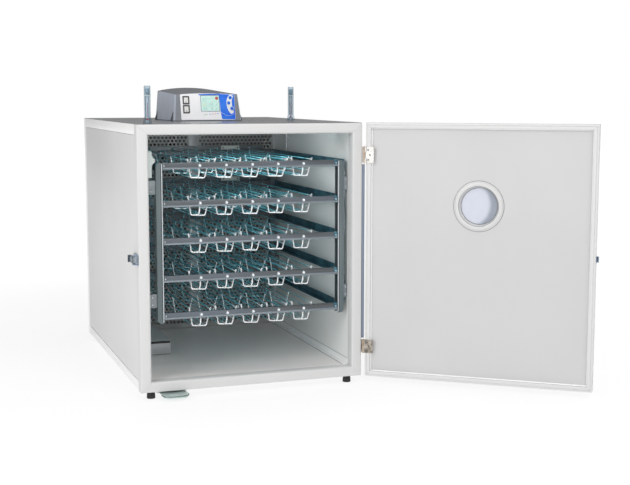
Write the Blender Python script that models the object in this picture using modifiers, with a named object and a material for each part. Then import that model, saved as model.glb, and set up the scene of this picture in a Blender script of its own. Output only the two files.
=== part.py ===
"""Cabinet egg incubator with a side-hinged door, a tilting rack of wire egg cradles, a fan and heater
behind a partition, a water tray, and a control unit and two thermometers on the roof.

Metres, +Z up. The origin is the centre of the cabinet's underside, X to the right, Y to the back,
so the door opening faces -Y. The feet reach below Z = 0.
"""

import math
from collections import namedtuple

import bmesh
import bpy
from mathutils import Matrix, Vector

# ---------------------------------------------------------------- a clear scene
for old in list(bpy.data.objects):
    bpy.data.objects.remove(old, do_unlink=True)
for block in (bpy.data.meshes, bpy.data.curves, bpy.data.materials):
    for item in list(block):
        block.remove(item)

scene = bpy.context.scene
scene.unit_settings.system = "METRIC"
PARTS = bpy.data.collections.new("egg_incubator")
scene.collection.children.link(PARTS)

# ---------------------------------------------------------------- driving dimensions
WIDTH, DEPTH, HEIGHT = 0.574, 0.803, 0.650      # cabinet box without feet
WALL = 0.026                                    # sandwich panel and front profile
SILL = 0.025                                    # bottom panel, and lower width of the front profile
FRAME_DEPTH = 0.030                             # front profile, along Y
GAP = 0.0003                                    # clearance between neighbouring solids
THROUGH = 0.01                                  # how far a cutter runs past what it cuts

LEFT, RIGHT = -WIDTH / 2, WIDTH / 2             # outer faces of the cabinet
FRONT, BACK = -DEPTH / 2, DEPTH / 2
PANEL_FRONT = FRONT + FRAME_DEPTH + GAP         # floor, roof and sides start behind the front profile
BACK_PANEL_Y = BACK - WALL
PANEL_Y = (PANEL_FRONT, BACK_PANEL_Y - GAP)
INNER_LEFT, INNER_RIGHT = LEFT + WALL + GAP, RIGHT - WALL - GAP
INNER_Z = (SILL + GAP, HEIGHT - WALL - GAP)
ROOF_Z = HEIGHT + GAP                           # where the parts on the roof stand

# Places that several parts share
LATCH_Y, LATCH_Z = -0.3900, 0.3255              # pin of the latch lever
LATCH_X = LEFT - 0.0095
SLIDE_X = (-0.2370, -0.1710)                    # drip slide under the floor
FAN_X, FAN_Z = -0.055, 0.535
SHAFT_X, SHAFT_Z, SHAFT_R = -0.2445, 0.575, 0.004
SHAFT_BORE_R = SHAFT_R + 0.0005

# ---------------------------------------------------------------- materials
Finish = namedtuple("Finish", "name colour roughness metallic alpha", defaults=(0.0, 1.0))

WHITE = Finish("white_profile", colour=(0.84, 0.84, 0.83), roughness=0.35)
PANEL = Finish("pale_grey_panel", colour=(0.68, 0.68, 0.67), roughness=0.45)
ROOF = Finish("grey_roof", colour=(0.24, 0.25, 0.26), roughness=0.28)
RUBBER = Finish("black_rubber", colour=(0.02, 0.02, 0.02), roughness=0.75)
ZINC = Finish("zinc_plate", colour=(0.52, 0.60, 0.63), roughness=0.32, metallic=1.0)
NICKEL = Finish("nickel_plate", colour=(0.62, 0.60, 0.56), roughness=0.3, metallic=1.0)
HOUSING = Finish("grey_abs", colour=(0.20, 0.215, 0.235), roughness=0.5)
BLACK = Finish("black_plastic", colour=(0.02, 0.02, 0.02), roughness=0.4)
IVORY = Finish("white_plastic", colour=(0.85, 0.85, 0.83), roughness=0.35)
BLUE = Finish("blue_button", colour=(0.05, 0.16, 0.55), roughness=0.35)
GLASS = Finish("window_glass", colour=(0.62, 0.68, 0.78), roughness=0.1, alpha=0.5)
CLEAR = Finish("clear_tube", colour=(0.60, 0.68, 0.72), roughness=0.1, alpha=0.5)
ALU = Finish("aluminium_sheet", colour=(0.62, 0.63, 0.63), roughness=0.4, metallic=1.0)
TAB = Finish("pale_translucent", colour=(0.66, 0.74, 0.72), roughness=0.3)


def material(name, finish):
    made = bpy.data.materials.new(name)
    made.use_nodes = True
    shader = made.node_tree.nodes["Principled BSDF"]
    shader.inputs["Base Color"].default_value = (*finish.colour, 1.0)
    shader.inputs["Roughness"].default_value = finish.roughness
    shader.inputs["Metallic"].default_value = finish.metallic
    shader.inputs["Alpha"].default_value = finish.alpha
    made.diffuse_color = (*finish.colour, 1.0)
    return made


# ---------------------------------------------------------------- modelling helpers
def settle(obj, name, finish, parent=None):
    """Names the object, gives it its own material and puts it in the parts collection."""
    obj.name = name
    obj.data.name = name
    obj.data.materials.clear()
    obj.data.materials.append(material(f"{name}_{finish.name}", finish))
    for home in list(obj.users_collection):
        home.objects.unlink(obj)
    PARTS.objects.link(obj)
    if parent is not None:
        obj.parent = parent


def smooth(obj, degrees=30.0):
    obj.data.shade_smooth()
    obj.data.set_sharp_from_angle(angle=math.radians(degrees))
    return obj


def evaluated_mesh(obj):
    graph = bpy.context.evaluated_depsgraph_get()
    graph.update()
    return bpy.data.meshes.new_from_object(obj.evaluated_get(graph), depsgraph=graph)


def bake(obj):
    """Replaces the object's mesh by its evaluated one, so that its modifiers are done with."""
    made = evaluated_mesh(obj)
    obj.modifiers.clear()
    obj.data = made
    return obj


def weld(mesh):
    """Merges coincident vertices and turns all faces outwards."""
    work = bmesh.new()
    work.from_mesh(mesh)
    bmesh.ops.remove_doubles(work, verts=work.verts, dist=0.00001)
    bmesh.ops.recalc_face_normals(work, faces=work.faces)
    work.to_mesh(mesh)
    work.free()


def spread(centre, half):
    """The span that reaches half to each side of a centre."""
    return (centre - half, centre + half)


def grown(span, margin):
    """A span made longer at both ends, or shorter by a negative margin."""
    return (span[0] - margin, span[1] + margin)


def box(x_span, y_span, z_span):
    """A box from three spans, whose ends may come in either order. Its origin is the local origin."""
    bpy.ops.mesh.primitive_cube_add(size=1.0)
    obj = bpy.context.object
    spans = (x_span, y_span, z_span)
    low = Vector([min(span) for span in spans])
    high = Vector([max(span) for span in spans])
    size = high - low
    obj.data.transform(Matrix.Translation((low + high) / 2) @ Matrix.Diagonal((*size, 1.0)))
    return obj


def rod(start, end, radius, sides=12, radius_end=None):
    """A cylinder or a cone between two points."""
    start, end = Vector(start), Vector(end)
    along = end - start
    bpy.ops.mesh.primitive_cone_add(
        vertices=sides,
        radius1=radius,
        radius2=radius if radius_end is None else radius_end,
        depth=along.length,
        end_fill_type="NGON",
    )
    obj = bpy.context.object
    turn = along.to_track_quat("Z", "Y").to_matrix().to_4x4()
    obj.data.transform(Matrix.Translation((start + end) / 2) @ turn)
    return obj


def rod_y(x, z, y_span, radius, sides=12):
    """A cylinder along Y."""
    return rod((x, y_span[0], z), (x, y_span[1], z), radius, sides)


def rod_z(x, y, z_span, radius, sides=12, radius_top=None):
    """A cylinder or a cone along Z."""
    return rod((x, y, z_span[0]), (x, y, z_span[1]), radius, sides, radius_top)


def wire(points, radius):
    """A bent wire as a mesh: a POLY curve with a round bevel and closed ends."""
    data = bpy.data.curves.new("wire", "CURVE")
    data.dimensions = "3D"
    data.bevel_depth = radius
    data.bevel_resolution = 0
    data.use_fill_caps = True
    line = data.splines.new("POLY")
    line.points.add(len(points) - 1)
    for point, place in zip(line.points, points):
        point.co = (*place, 1.0)
    curve = bpy.data.objects.new("wire", data)
    PARTS.objects.link(curve)
    bpy.context.view_layer.update()
    mesh = evaluated_mesh(curve)
    weld(mesh)
    bpy.data.objects.remove(curve, do_unlink=True)
    obj = bpy.data.objects.new("wire_mesh", mesh)
    PARTS.objects.link(obj)
    return obj


def turned(profile, steps):
    """A turned shape about +Z, from a closed profile of (radius, height) points."""
    mesh = bpy.data.meshes.new("profile")
    work = bmesh.new()
    dots = [work.verts.new((radius, 0.0, height)) for radius, height in profile]
    for first, second in zip(dots, dots[1:] + dots[:1]):
        work.edges.new((first, second))
    work.to_mesh(mesh)
    work.free()
    obj = bpy.data.objects.new("turned", mesh)
    PARTS.objects.link(obj)
    screw = obj.modifiers.new("turn", "SCREW")
    screw.steps = screw.render_steps = steps
    screw.use_merge_vertices = True
    screw.merge_threshold = 0.00001
    screw.use_smooth_shade = False
    bake(obj)
    weld(obj.data)
    return obj


def combine(target, others, operation):
    for other in others:
        mod = target.modifiers.new(operation.lower(), "BOOLEAN")
        mod.operation = operation
        mod.solver = "EXACT"
        mod.object = other
        bpy.context.view_layer.update()
        bake(target)
        bpy.data.objects.remove(other, do_unlink=True)
    return target


def fuse(target, *others):
    return combine(target, others, "UNION")


def cut(target, *others):
    return combine(target, others, "DIFFERENCE")


def cut_once(target, cutters):
    """Cuts with many tools that don't touch each other, as one mesh."""
    first, rest = cutters[0], cutters[1:]
    work = bmesh.new()
    work.from_mesh(first.data)
    for other in rest:
        work.from_mesh(other.data)
    work.to_mesh(first.data)
    work.free()
    for other in rest:
        bpy.data.objects.remove(other, do_unlink=True)
    return cut(target, first)


def bevelled(obj, width):
    mod = obj.modifiers.new("edge", "BEVEL")
    mod.width = width
    mod.segments = 1
    mod.limit_method = "ANGLE"
    mod.angle_limit = math.radians(30.0)
    return bake(obj)


def picture_frame(x_span, y_span, z_span, open_x, open_z):
    """A box with a clear rectangular opening along Y."""
    outer = box(x_span, y_span, z_span)
    return cut(outer, box(open_x, grown(y_span, THROUGH), open_z))


# ---------------------------------------------------------------- cabinet
FRAME_LEFT_W = 0.0273                           # left width of the front profile
FRAME_BEVEL = 0.0015

RAIL_GAP, RAIL_T, RAIL_LIP = 0.0008, 0.0030, 0.0045     # guide rails of the drip slide, along X
RAIL_Y = (PANEL_FRONT + 0.004, PANEL_FRONT + 0.170)
RAIL_BOTTOM, RAIL_LIP_TOP, RAIL_TOP = -0.0115, -0.0095, 0.0030

SPINDLE_R = 0.006                               # fan spindle on the back panel
SPINDLE_Y = (BACK_PANEL_Y - 0.030, BACK_PANEL_Y + 0.004)

FOOT_R, FOOT_H, FOOT_TAPER = 0.0105, 0.020, 0.0015
FOOT_SIDE, FOOT_END = 0.030, 0.027              # foot axis from the side, and from the front or back


def build_front_frame():
    frame = picture_frame(
        (LEFT, RIGHT), (FRONT, FRONT + FRAME_DEPTH), (0.0, HEIGHT),
        (LEFT + FRAME_LEFT_W, RIGHT - WALL), (SILL, HEIGHT - WALL),
    )
    settle(bevelled(frame, FRAME_BEVEL), "front_frame", WHITE)


def build_bottom_panel():
    """The floor, with two lipped guide rails under it that carry the drip slide."""
    floor = box((LEFT, RIGHT), PANEL_Y, (0.0, SILL))
    for side, slide_edge in zip((-1, 1), SLIDE_X):
        inner = slide_edge + side * RAIL_GAP
        outer = inner + side * RAIL_T
        rail = box((inner, outer), RAIL_Y, (RAIL_BOTTOM, RAIL_TOP))
        lip = box((inner - side * RAIL_LIP, outer), RAIL_Y, (RAIL_BOTTOM, RAIL_LIP_TOP))
        fuse(floor, fuse(rail, lip))
    settle(floor, "bottom_panel", WHITE)


def build_top_panel():
    settle(box((LEFT, RIGHT), PANEL_Y, (HEIGHT - WALL, HEIGHT)), "top_panel", ROOF)


def latch_base():
    """Base plate that reaches over the front profile, its pad into the side, and two pivot ears."""
    base = box((LEFT - 0.0020, LEFT - GAP), (-0.4005, -0.3500), spread(LATCH_Z, 0.0130))
    pad_y = (PANEL_FRONT + 0.001, -0.3510)
    fuse(base, box((LEFT - 0.0012, LEFT + 0.0020), pad_y, spread(LATCH_Z, 0.0120)))
    ear_x, ear_y = (LATCH_X - 0.0035, LEFT - 0.0010), spread(LATCH_Y, 0.0040)
    for end in (-1, 1):
        fuse(base, box(ear_x, ear_y, (LATCH_Z + end * 0.0098, LATCH_Z + end * 0.0120)))
    return base


def build_left_side():
    """The left side with the latch base on it, bored for the lever's pin."""
    side = box((LEFT, LEFT + WALL), PANEL_Y, INNER_Z)
    fuse(side, latch_base())
    cut(side, rod_z(LATCH_X, LATCH_Y, spread(LATCH_Z, 0.014), radius=0.0019))
    settle(side, "left_side_panel", WHITE)


def build_right_side():
    settle(box((RIGHT - WALL, RIGHT), PANEL_Y, INNER_Z), "right_side_panel", WHITE)


def build_back_panel():
    """The back panel with the spindle that the fan turns on."""
    rear = box((LEFT, RIGHT), (BACK_PANEL_Y, BACK), (0.0, HEIGHT))
    fuse(rear, rod_y(FAN_X, FAN_Z, SPINDLE_Y, SPINDLE_R, sides=16))
    settle(rear, "back_panel", PANEL)


def build_feet():
    for end, y in (("front", FRONT + FOOT_END), ("rear", BACK - FOOT_END)):
        for side, x in (("left", LEFT + FOOT_SIDE), ("right", RIGHT - FOOT_SIDE)):
            foot = rod_z(0, 0, (-FOOT_H, -GAP), FOOT_R, 20, radius_top=FOOT_R - FOOT_TAPER)
            foot.location = (x, y, 0.0)
            settle(smooth(foot, degrees=40.0), f"foot_{end}_{side}", RUBBER)


# ---------------------------------------------------------------- door, built closed about its hinge axis
DOOR_OPEN_DEG = 142.4                           # swing from closed to the rest position
DOOR_T, DOOR_RIM, DOOR_GAP = 0.026, 0.0130, 0.003
DOOR_PANEL_RECESS, DOOR_PANEL_T = 0.010, 0.014
WINDOW_Z, WINDOW_R, RING_R = 0.446, 0.047, 0.060
PANE_T = 0.008
PANEL_HOLE_R, RING_WAIST_R, RING_BORE_R = 0.0533, 0.0527, WINDOW_R + 0.0006
RING_LIP, RING_LIP_EDGE, RING_CHAMFER = 0.0040, 0.0020, 0.002
WINDOW_SIDES = 36

AXIS_X, AXIS_Y = RIGHT + 0.0040, FRONT - 0.0035
# The closed door, measured from the hinge axis
DOOR_LEFT, DOOR_RIGHT = LEFT - AXIS_X, RIGHT - AXIS_X
DOOR_INNER = FRONT - DOOR_GAP - AXIS_Y          # the face towards the cabinet
DOOR_OPEN_X = (DOOR_LEFT + DOOR_RIM, DOOR_RIGHT - DOOR_RIM)
DOOR_OPEN_Z = (DOOR_RIM, HEIGHT - DOOR_RIM)
WINDOW_X = (DOOR_LEFT + DOOR_RIGHT) / 2
DOOR_PANEL_MID = DOOR_INNER - DOOR_PANEL_RECESS - DOOR_PANEL_T / 2


def build_door_axis():
    axis = bpy.data.objects.new("door_axis", None)
    PARTS.objects.link(axis)
    axis.location = (AXIS_X, AXIS_Y, 0.0)
    axis.rotation_euler = (0.0, 0.0, math.radians(DOOR_OPEN_DEG))
    return axis


def build_door_frame(axis):
    """The door's rim, with a strike plate for the latch on the free edge."""
    door = picture_frame(
        (DOOR_LEFT, DOOR_RIGHT), (DOOR_INNER - DOOR_T, DOOR_INNER), (0.0, HEIGHT),
        DOOR_OPEN_X, DOOR_OPEN_Z,
    )
    strike_x = (DOOR_LEFT - 0.0060, DOOR_LEFT + 0.004)
    strike_y = (DOOR_INNER - 0.019, DOOR_INNER - 0.006)
    fuse(door, box(strike_x, strike_y, spread(LATCH_Z, 0.008)))
    settle(door, "door_frame", WHITE, axis)


def build_door_panel(axis):
    face = DOOR_INNER - DOOR_PANEL_RECESS
    panel = box(grown(DOOR_OPEN_X, -GAP), (face - DOOR_PANEL_T, face), grown(DOOR_OPEN_Z, -GAP))
    hole_y = spread(DOOR_PANEL_MID, 0.02)
    cut(panel, rod_y(WINDOW_X, WINDOW_Z, hole_y, PANEL_HOLE_R, WINDOW_SIDES))
    settle(panel, "door_panel", PANEL, axis)


def build_window(axis):
    """The porthole bezel is a spool that grips the panel, and the pane sits in its bore."""
    half = DOOR_PANEL_T / 2
    upper = [                                   # radius, height
        (RING_BORE_R, half + RING_LIP),
        (RING_R - RING_CHAMFER, half + RING_LIP),
        (RING_R, half + RING_LIP_EDGE),
        (RING_R, half + GAP),
        (RING_WAIST_R, half + GAP),
    ]
    lower = [(radius, -height) for radius, height in reversed(upper)]
    spool = turned(upper + lower, WINDOW_SIDES)
    spool.data.transform(
        Matrix.Translation((WINDOW_X, DOOR_PANEL_MID, WINDOW_Z)) @ Matrix.Rotation(math.pi / 2, 4, "X")
    )
    settle(smooth(spool), "window_ring", WHITE, axis)
    pane_y = spread(DOOR_PANEL_MID, PANE_T / 2)
    pane = rod_y(WINDOW_X, WINDOW_Z, pane_y, WINDOW_R, WINDOW_SIDES)
    settle(smooth(pane), "window_glass", GLASS, axis)


# ---------------------------------------------------------------- hinges: three knuckles on one pin
HINGES = (("upper", 0.5483, 0.5895), ("lower", 0.0605, 0.0950))    # name, bottom, top
MIDDLE_SHARE = 0.0072 / 0.0412                  # half the middle knuckle, over the hinge height
KNUCKLE_R, KNUCKLE_GAP, KNUCKLE_SIDES = 0.0032, 0.0004, 16
HINGE_PIN_R, HINGE_PIN_PLAY, HINGE_PIN_OVER = 0.0014, 0.0003, 0.0012
LEAF_W, LEAF_T = 0.0210, 0.0016
LEAF_NOTCH = 0.0030                             # the door leaf is notched round the middle knuckle


def build_cabinet_leaf(name, height, middle):
    """Leaf on the right side face, with the middle knuckle and the pin, in world coordinates."""
    leaf_x, leaf_y = (RIGHT + GAP, RIGHT + GAP + LEAF_T), FRONT + 0.0010
    leaf = box(leaf_x, (leaf_y, leaf_y + LEAF_W), height)
    fuse(
        leaf,
        box(leaf_x, (AXIS_Y, FRONT + 0.0030), middle),
        rod_z(AXIS_X, AXIS_Y, middle, KNUCKLE_R, KNUCKLE_SIDES),
        rod_z(AXIS_X, AXIS_Y, grown(height, HINGE_PIN_OVER), HINGE_PIN_R),
    )
    settle(smooth(leaf), f"{name}_hinge_cabinet_leaf", NICKEL)


def build_door_leaf(name, height, middle, axis):
    """Leaf on the door's inner face, with the two outer knuckles, about the hinge axis."""
    notch_x, leaf_y = DOOR_RIGHT - LEAF_NOTCH, (DOOR_INNER + GAP, DOOR_INNER + GAP + LEAF_T)
    notch_z = grown(middle, KNUCKLE_GAP)
    leaf = box((DOOR_RIGHT - LEAF_W, DOOR_RIGHT - 0.0002), leaf_y, height)
    notch_y = (DOOR_INNER - 0.001, DOOR_INNER + THROUGH)
    cut(leaf, box((notch_x, DOOR_RIGHT + THROUGH), notch_y, notch_z))
    for knuckle_z in ((height[0], notch_z[0]), (notch_z[1], height[1])):
        fuse(leaf, rod_z(0, 0, knuckle_z, KNUCKLE_R, KNUCKLE_SIDES))
        fuse(leaf, box((notch_x, -0.0012), leaf_y, knuckle_z))
    cut(leaf, rod_z(0, 0, grown(height, THROUGH), HINGE_PIN_R + HINGE_PIN_PLAY))
    settle(smooth(leaf), f"{name}_hinge_door_leaf", NICKEL, axis)


def build_hinges(axis):
    for name, low, high in HINGES:
        middle = spread((low + high) / 2, MIDDLE_SHARE * (high - low))
        build_cabinet_leaf(name, (low, high), middle)
        build_door_leaf(name, (low, high), middle, axis)


# ---------------------------------------------------------------- latch lever and drip slide
LEVER_END, LEVER_HALF_H = 0.0375, 0.0090

SLIDE_T, SLIDE_Z = 0.0025, -0.00725             # thickness, and height of its middle
SLIDE_Y = (-0.030, 0.130)                       # from the cabinet's front face
SLIDE_CORNER = 0.012


def build_latch_lever():
    """A lever with a hooked rear end; its origin is on its pin."""
    height = spread(0, LEVER_HALF_H)
    lever = box(spread(0, 0.0030), (-0.0040, LEVER_END), height)
    fuse(lever, box((-0.0085, 0.0), (LEVER_END - 0.0030, LEVER_END), height))
    fuse(lever, rod_z(0, 0, spread(0, 0.0115), radius=0.0016))
    lever.location = (LATCH_X, LATCH_Y, LATCH_Z)
    settle(lever, "latch_lever", NICKEL)


def build_drip_slide():
    """A flat strip whose front corners are rounded."""
    strip = box(SLIDE_X, SLIDE_Y, spread(0, SLIDE_T / 2))
    work = bmesh.new()
    work.from_mesh(strip.data)
    corners = []
    for edge in work.edges:
        first, second = (vertex.co for vertex in edge.verts)
        if abs(first.z - second.z) > 0.001 and first.y < 0:
            corners.append(edge)
    bmesh.ops.bevel(
        work, geom=corners, offset=SLIDE_CORNER, offset_type="OFFSET", segments=4,
        affect="EDGES", profile=0.5,
    )
    work.to_mesh(strip.data)
    work.free()
    strip.location = (0.0, FRONT, SLIDE_Z)
    settle(strip, "drip_slide", TAB)


# ---------------------------------------------------------------- rack of welded angle and channel
RACK_CX, RACK_HALF_W = 0.0065, 0.2428
RACK_LEFT, RACK_RIGHT = spread(RACK_CX, RACK_HALF_W)
RACK_SIDES = ((RACK_LEFT, -1), (RACK_RIGHT, 1))     # outer face, direction outwards
RACK_FRONT, RACK_REAR = -0.3720, 0.2290
RACK_BOTTOM, RACK_TOP = 0.1625, 0.5560
POST_W, POST_D, POST_T = 0.016, 0.025, 0.0015

LEVELS = [0.180 + i * 0.092 for i in range(5)]      # pivot heights of the cradles
COLUMN_PITCH, COLUMN_COUNT = 0.0668, 5
COLUMNS = [RACK_CX + (i - (COLUMN_COUNT - 1) / 2) * COLUMN_PITCH for i in range(COLUMN_COUNT)]

BAR_H, BAR_T, BAR_INSET = 0.0156, 0.0025, 0.0007
LIP, LIP_T, LIP_INSET = 0.0040, 0.0015, 0.0167
FRONT_BAR_Y, REAR_BAR_Y = RACK_FRONT - 0.0005, 0.2095
RAIL_OUTER, RAIL_INNER = 0.0004, 0.0029         # faces of a side rail, in from the rack's side
SIDE_RAIL_END, SIDE_RAIL_HALF_H = 0.0008, 0.0095
STANDOFF_ZS, STANDOFF_HALF_H, STANDOFF_D = (0.219, 0.496), 0.017, 0.019
STANDOFF_YS = (RACK_FRONT + 0.0030, RACK_REAR - 0.0220)
STANDOFF_BITE, BEARING_BITE = 0.0008, 0.0012    # overlap with the uprights
BEARING_Y, BEARING_Z = (0.1880, 0.1910), (0.5420, 0.5900)
PIVOT_HOLE_R = 0.0022


def channel(x_outer, side, y_span):
    """An upright C-channel whose open side faces the middle of the rack."""
    x_inner = x_outer - side * POST_W
    z_span = (RACK_BOTTOM, RACK_TOP)
    post = box((x_outer, x_inner), y_span, z_span)
    hollow_x = (x_outer - side * POST_T, x_inner - side * THROUGH)
    return cut(post, box(hollow_x, grown(y_span, -POST_T), grown(z_span, THROUGH)))


def level_bars(z):
    """Front bar with a lip, rear bar, and the side rails between the uprights."""
    bar_x, bar_z = (RACK_LEFT + BAR_INSET, RACK_RIGHT - BAR_INSET), spread(z, BAR_H / 2)
    front_bar = box(bar_x, (FRONT_BAR_Y, FRONT_BAR_Y + BAR_T), bar_z)
    lip_x = (RACK_LEFT + LIP_INSET, RACK_RIGHT - LIP_INSET)
    lip_y = (RACK_FRONT - LIP, RACK_FRONT + 0.001)
    fuse(front_bar, box(lip_x, lip_y, (bar_z[0], bar_z[0] + LIP_T)))
    bars = [front_bar, box(bar_x, (REAR_BAR_Y, REAR_BAR_Y + BAR_T), bar_z)]
    for x_outer, side in RACK_SIDES:
        rail_x = (x_outer - side * RAIL_OUTER, x_outer - side * RAIL_INNER)
        rail_y = (RACK_FRONT + SIDE_RAIL_END, RACK_REAR - SIDE_RAIL_END)
        bars.append(box(rail_x, rail_y, spread(z, SIDE_RAIL_HALF_H)))
    return bars


def standoffs():
    """Blocks that hold the uprights to the side walls."""
    blocks = []
    for z in STANDOFF_ZS:
        for y in STANDOFF_YS:
            y_span, z_span = (y, y + STANDOFF_D), spread(z, STANDOFF_HALF_H)
            blocks.append(box((RACK_RIGHT - STANDOFF_BITE, INNER_RIGHT), y_span, z_span))
            blocks.append(box((INNER_LEFT, RACK_LEFT + STANDOFF_BITE), y_span, z_span))
    return blocks


def build_rack():
    pieces = []
    for x_outer, side in RACK_SIDES:
        pieces.append(channel(x_outer, side, (RACK_FRONT, RACK_FRONT + POST_D)))
        pieces.append(channel(x_outer, side, (RACK_REAR - POST_D, RACK_REAR)))
    for z in LEVELS:
        pieces += level_bars(z)
    pieces += standoffs()
    # rear bearing plate of the drive shaft
    pieces.append(box((INNER_LEFT, RACK_LEFT + BEARING_BITE), BEARING_Y, BEARING_Z))
    rack = fuse(*pieces)
    holes = [
        rod_y(x, z, spread(y, 0.006), PIVOT_HOLE_R, sides=6)
        for z in LEVELS
        for x in COLUMNS
        for y in (RACK_FRONT, REAR_BAR_Y + BAR_T / 2)
    ]
    holes.append(rod_y(SHAFT_X, SHAFT_Z, (0.18, 0.20), SHAFT_BORE_R, sides=16))
    cut_once(rack, holes)
    settle(rack, "tray_rack", ZINC)


# ---------------------------------------------------------------- wire egg cradles, built about their pivot
CRADLE_TOP_W, CRADLE_BOTTOM_W = 0.053, 0.035    # wire trough that holds a row of eggs
CRADLE_TOP_Z, CRADLE_BOTTOM_Z = 0.011, -0.031   # above and below its pivot
CRADLE_FRONT, CRADLE_REAR = -0.3550, 0.1990
TROUGH_WIRE, PIVOT_WIRE_R = 0.0030, 0.0014      # thickness of the mesh, radius of the end wires
WIRE_OVERLAP = 0.0002
PIVOT_FRONT_Y, PIVOT_REAR_Y = -0.3672, 0.2165
CRANK_R = 0.015                                 # lever of each cradle and of the drive shaft
REST_TILT = math.radians(3.0)                   # the cradles rest a little off level
TILT_PER_METRE = 74.0                           # radians of tilt for 1 m of the link frame
TROUGH_OUTLINE = (                              # x, z across the trough
    (-CRADLE_TOP_W / 2, CRADLE_TOP_Z),
    (-CRADLE_BOTTOM_W / 2, CRADLE_BOTTOM_Z),
    (CRADLE_BOTTOM_W / 2, CRADLE_BOTTOM_Z),
    (CRADLE_TOP_W / 2, CRADLE_TOP_Z),
)


def wire_trough():
    """A grid folded into an open trough and turned into wires."""
    bpy.ops.mesh.primitive_grid_add(x_subdivisions=3, y_subdivisions=2, size=1.0)
    trough = bpy.context.object
    for vertex in trough.data.vertices:
        across = round((vertex.co.x + 0.5) * 3)
        share = vertex.co.y + 0.5
        x, z = TROUGH_OUTLINE[across]
        vertex.co = (x, CRADLE_FRONT + share * (CRADLE_REAR - CRADLE_FRONT), z)
    wires = trough.modifiers.new("wires", "WIREFRAME")
    wires.thickness = TROUGH_WIRE
    wires.offset = 0.0
    wires.use_boundary = True
    wires.use_replace = True
    wires.use_even_offset = True
    return bake(trough)


def cradle_mesh():
    # from the trough's bottom, forward, up behind the front bar and out through its hole
    front_wire = (
        (0, CRADLE_FRONT + WIRE_OVERLAP, CRADLE_BOTTOM_Z),
        (0, CRADLE_FRONT - 0.0040, CRADLE_BOTTOM_Z),
        (0, PIVOT_FRONT_Y, -0.0200),
        (0, PIVOT_FRONT_Y, 0),
        (0, PIVOT_FRONT_Y - 0.0093, 0),
    )
    # from the bottom, back under the rear bar and up past the pivot to the crank pin
    rear_wire = (
        (0, CRADLE_REAR - WIRE_OVERLAP, CRADLE_BOTTOM_Z),
        (0, PIVOT_REAR_Y, CRADLE_BOTTOM_Z),
        (0, PIVOT_REAR_Y, CRANK_R),
        (0, PIVOT_REAR_Y + 0.0100, CRANK_R),
    )
    rear_pivot = ((0, PIVOT_REAR_Y, 0), (0, CRADLE_REAR + 0.0030, 0))
    trough = wire_trough()
    fuse(trough, *[wire(points, PIVOT_WIRE_R) for points in (front_wire, rear_wire, rear_pivot)])
    mesh = trough.data
    bpy.data.objects.remove(trough, do_unlink=True)
    mesh.materials.clear()
    mesh.materials.append(material("egg_cradle_zinc", ZINC))
    return mesh


def build_cradles():
    """All cradles share one mesh."""
    mesh = cradle_mesh()
    for row, z in enumerate(LEVELS, 1):
        for column, x in enumerate(COLUMNS, 1):
            cradle = bpy.data.objects.new(f"egg_cradle_L{row}_C{column}", mesh)
            cradle.location = (x, 0.0, z)
            cradle.rotation_euler = (0.0, REST_TILT, 0.0)
            PARTS.objects.link(cradle)


# ---------------------------------------------------------------- link frame that tilts all cradles
LINK_FRONT, LINK_T = 0.2206, 0.0028
LINK_Y = (LINK_FRONT, LINK_FRONT + LINK_T)
LINK_LEFT, LINK_RIGHT = RACK_LEFT + POST_T + 0.0124, RACK_RIGHT - POST_T - 0.0124
LINK_BELOW, LINK_ABOVE = 0.0100, 0.0070         # bar edges from the crank pins
LINK_TOP_INSET = 0.016                          # the top bar is shorter at both ends
SLOT_HALF_W, SLOT_BELOW, SLOT_ABOVE = 0.0022, 0.0072, 0.0022
SHAFT_PIN_Z = SHAFT_Z + CRANK_R


def crank_slot(x, z):
    """Cutter for the slot round a crank pin."""
    z_span = (z - SLOT_BELOW, z + SLOT_ABOVE)
    return box(spread(x, SLOT_HALF_W), spread(LINK_FRONT, THROUGH), z_span)


def link_top_bar(z_span):
    """The shorter top bar, an arm over the left upright, and a riser for the motor's crank pin."""
    bar = box((LINK_LEFT + LINK_TOP_INSET, LINK_RIGHT - LINK_TOP_INSET), LINK_Y, z_span)
    arm_x = (SHAFT_X - 0.0040, LINK_LEFT + 0.020)
    fuse(bar, box(arm_x, LINK_Y, (RACK_TOP + 0.0025, z_span[1])))
    riser_z = (RACK_TOP + 0.0035, SHAFT_PIN_Z + 0.0060)
    return fuse(bar, box(spread(SHAFT_X, 0.0047), LINK_Y, riser_z))


def build_link_frame():
    bar_spans = [(z + CRANK_R - LINK_BELOW, z + CRANK_R + LINK_ABOVE) for z in LEVELS]
    pieces = [box((LINK_LEFT, LINK_RIGHT), LINK_Y, z_span) for z_span in bar_spans[:-1]]
    pieces.append(link_top_bar(bar_spans[-1]))
    upright_z = (LEVELS[0] + CRANK_R - 0.008, LEVELS[-1] + CRANK_R + 0.005)
    for x in grown((COLUMNS[0], COLUMNS[-1]), COLUMN_PITCH / 2):
        pieces.append(box(spread(x, 0.006), LINK_Y, upright_z))
    link = fuse(*pieces)
    slots = [crank_slot(x, z + CRANK_R) for z in LEVELS for x in COLUMNS]
    slots.append(crank_slot(SHAFT_X, SHAFT_PIN_Z))
    cut_once(link, slots)
    link.location = (REST_TILT / TILT_PER_METRE, 0.0, 0.0)
    settle(link, "tilt_link_frame", ZINC)


# ---------------------------------------------------------------- geared motor and its long shaft
MOTOR_Y, MOTOR_Z = (RACK_FRONT + 0.0015, RACK_FRONT + 0.0720), (0.5200, 0.5840)
MOTOR_BORE_Y = (RACK_FRONT + 0.0560, RACK_FRONT + 0.08)
SHAFT_FRONT, SHAFT_REAR = RACK_FRONT + 0.0570, 0.2176
CRANK_Y, CRANK_HALF_W = (0.2140, SHAFT_REAR), 0.0030
CRANK_PIN_Y, CRANK_PIN_R = (0.2150, 0.2262), 0.0014


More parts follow.
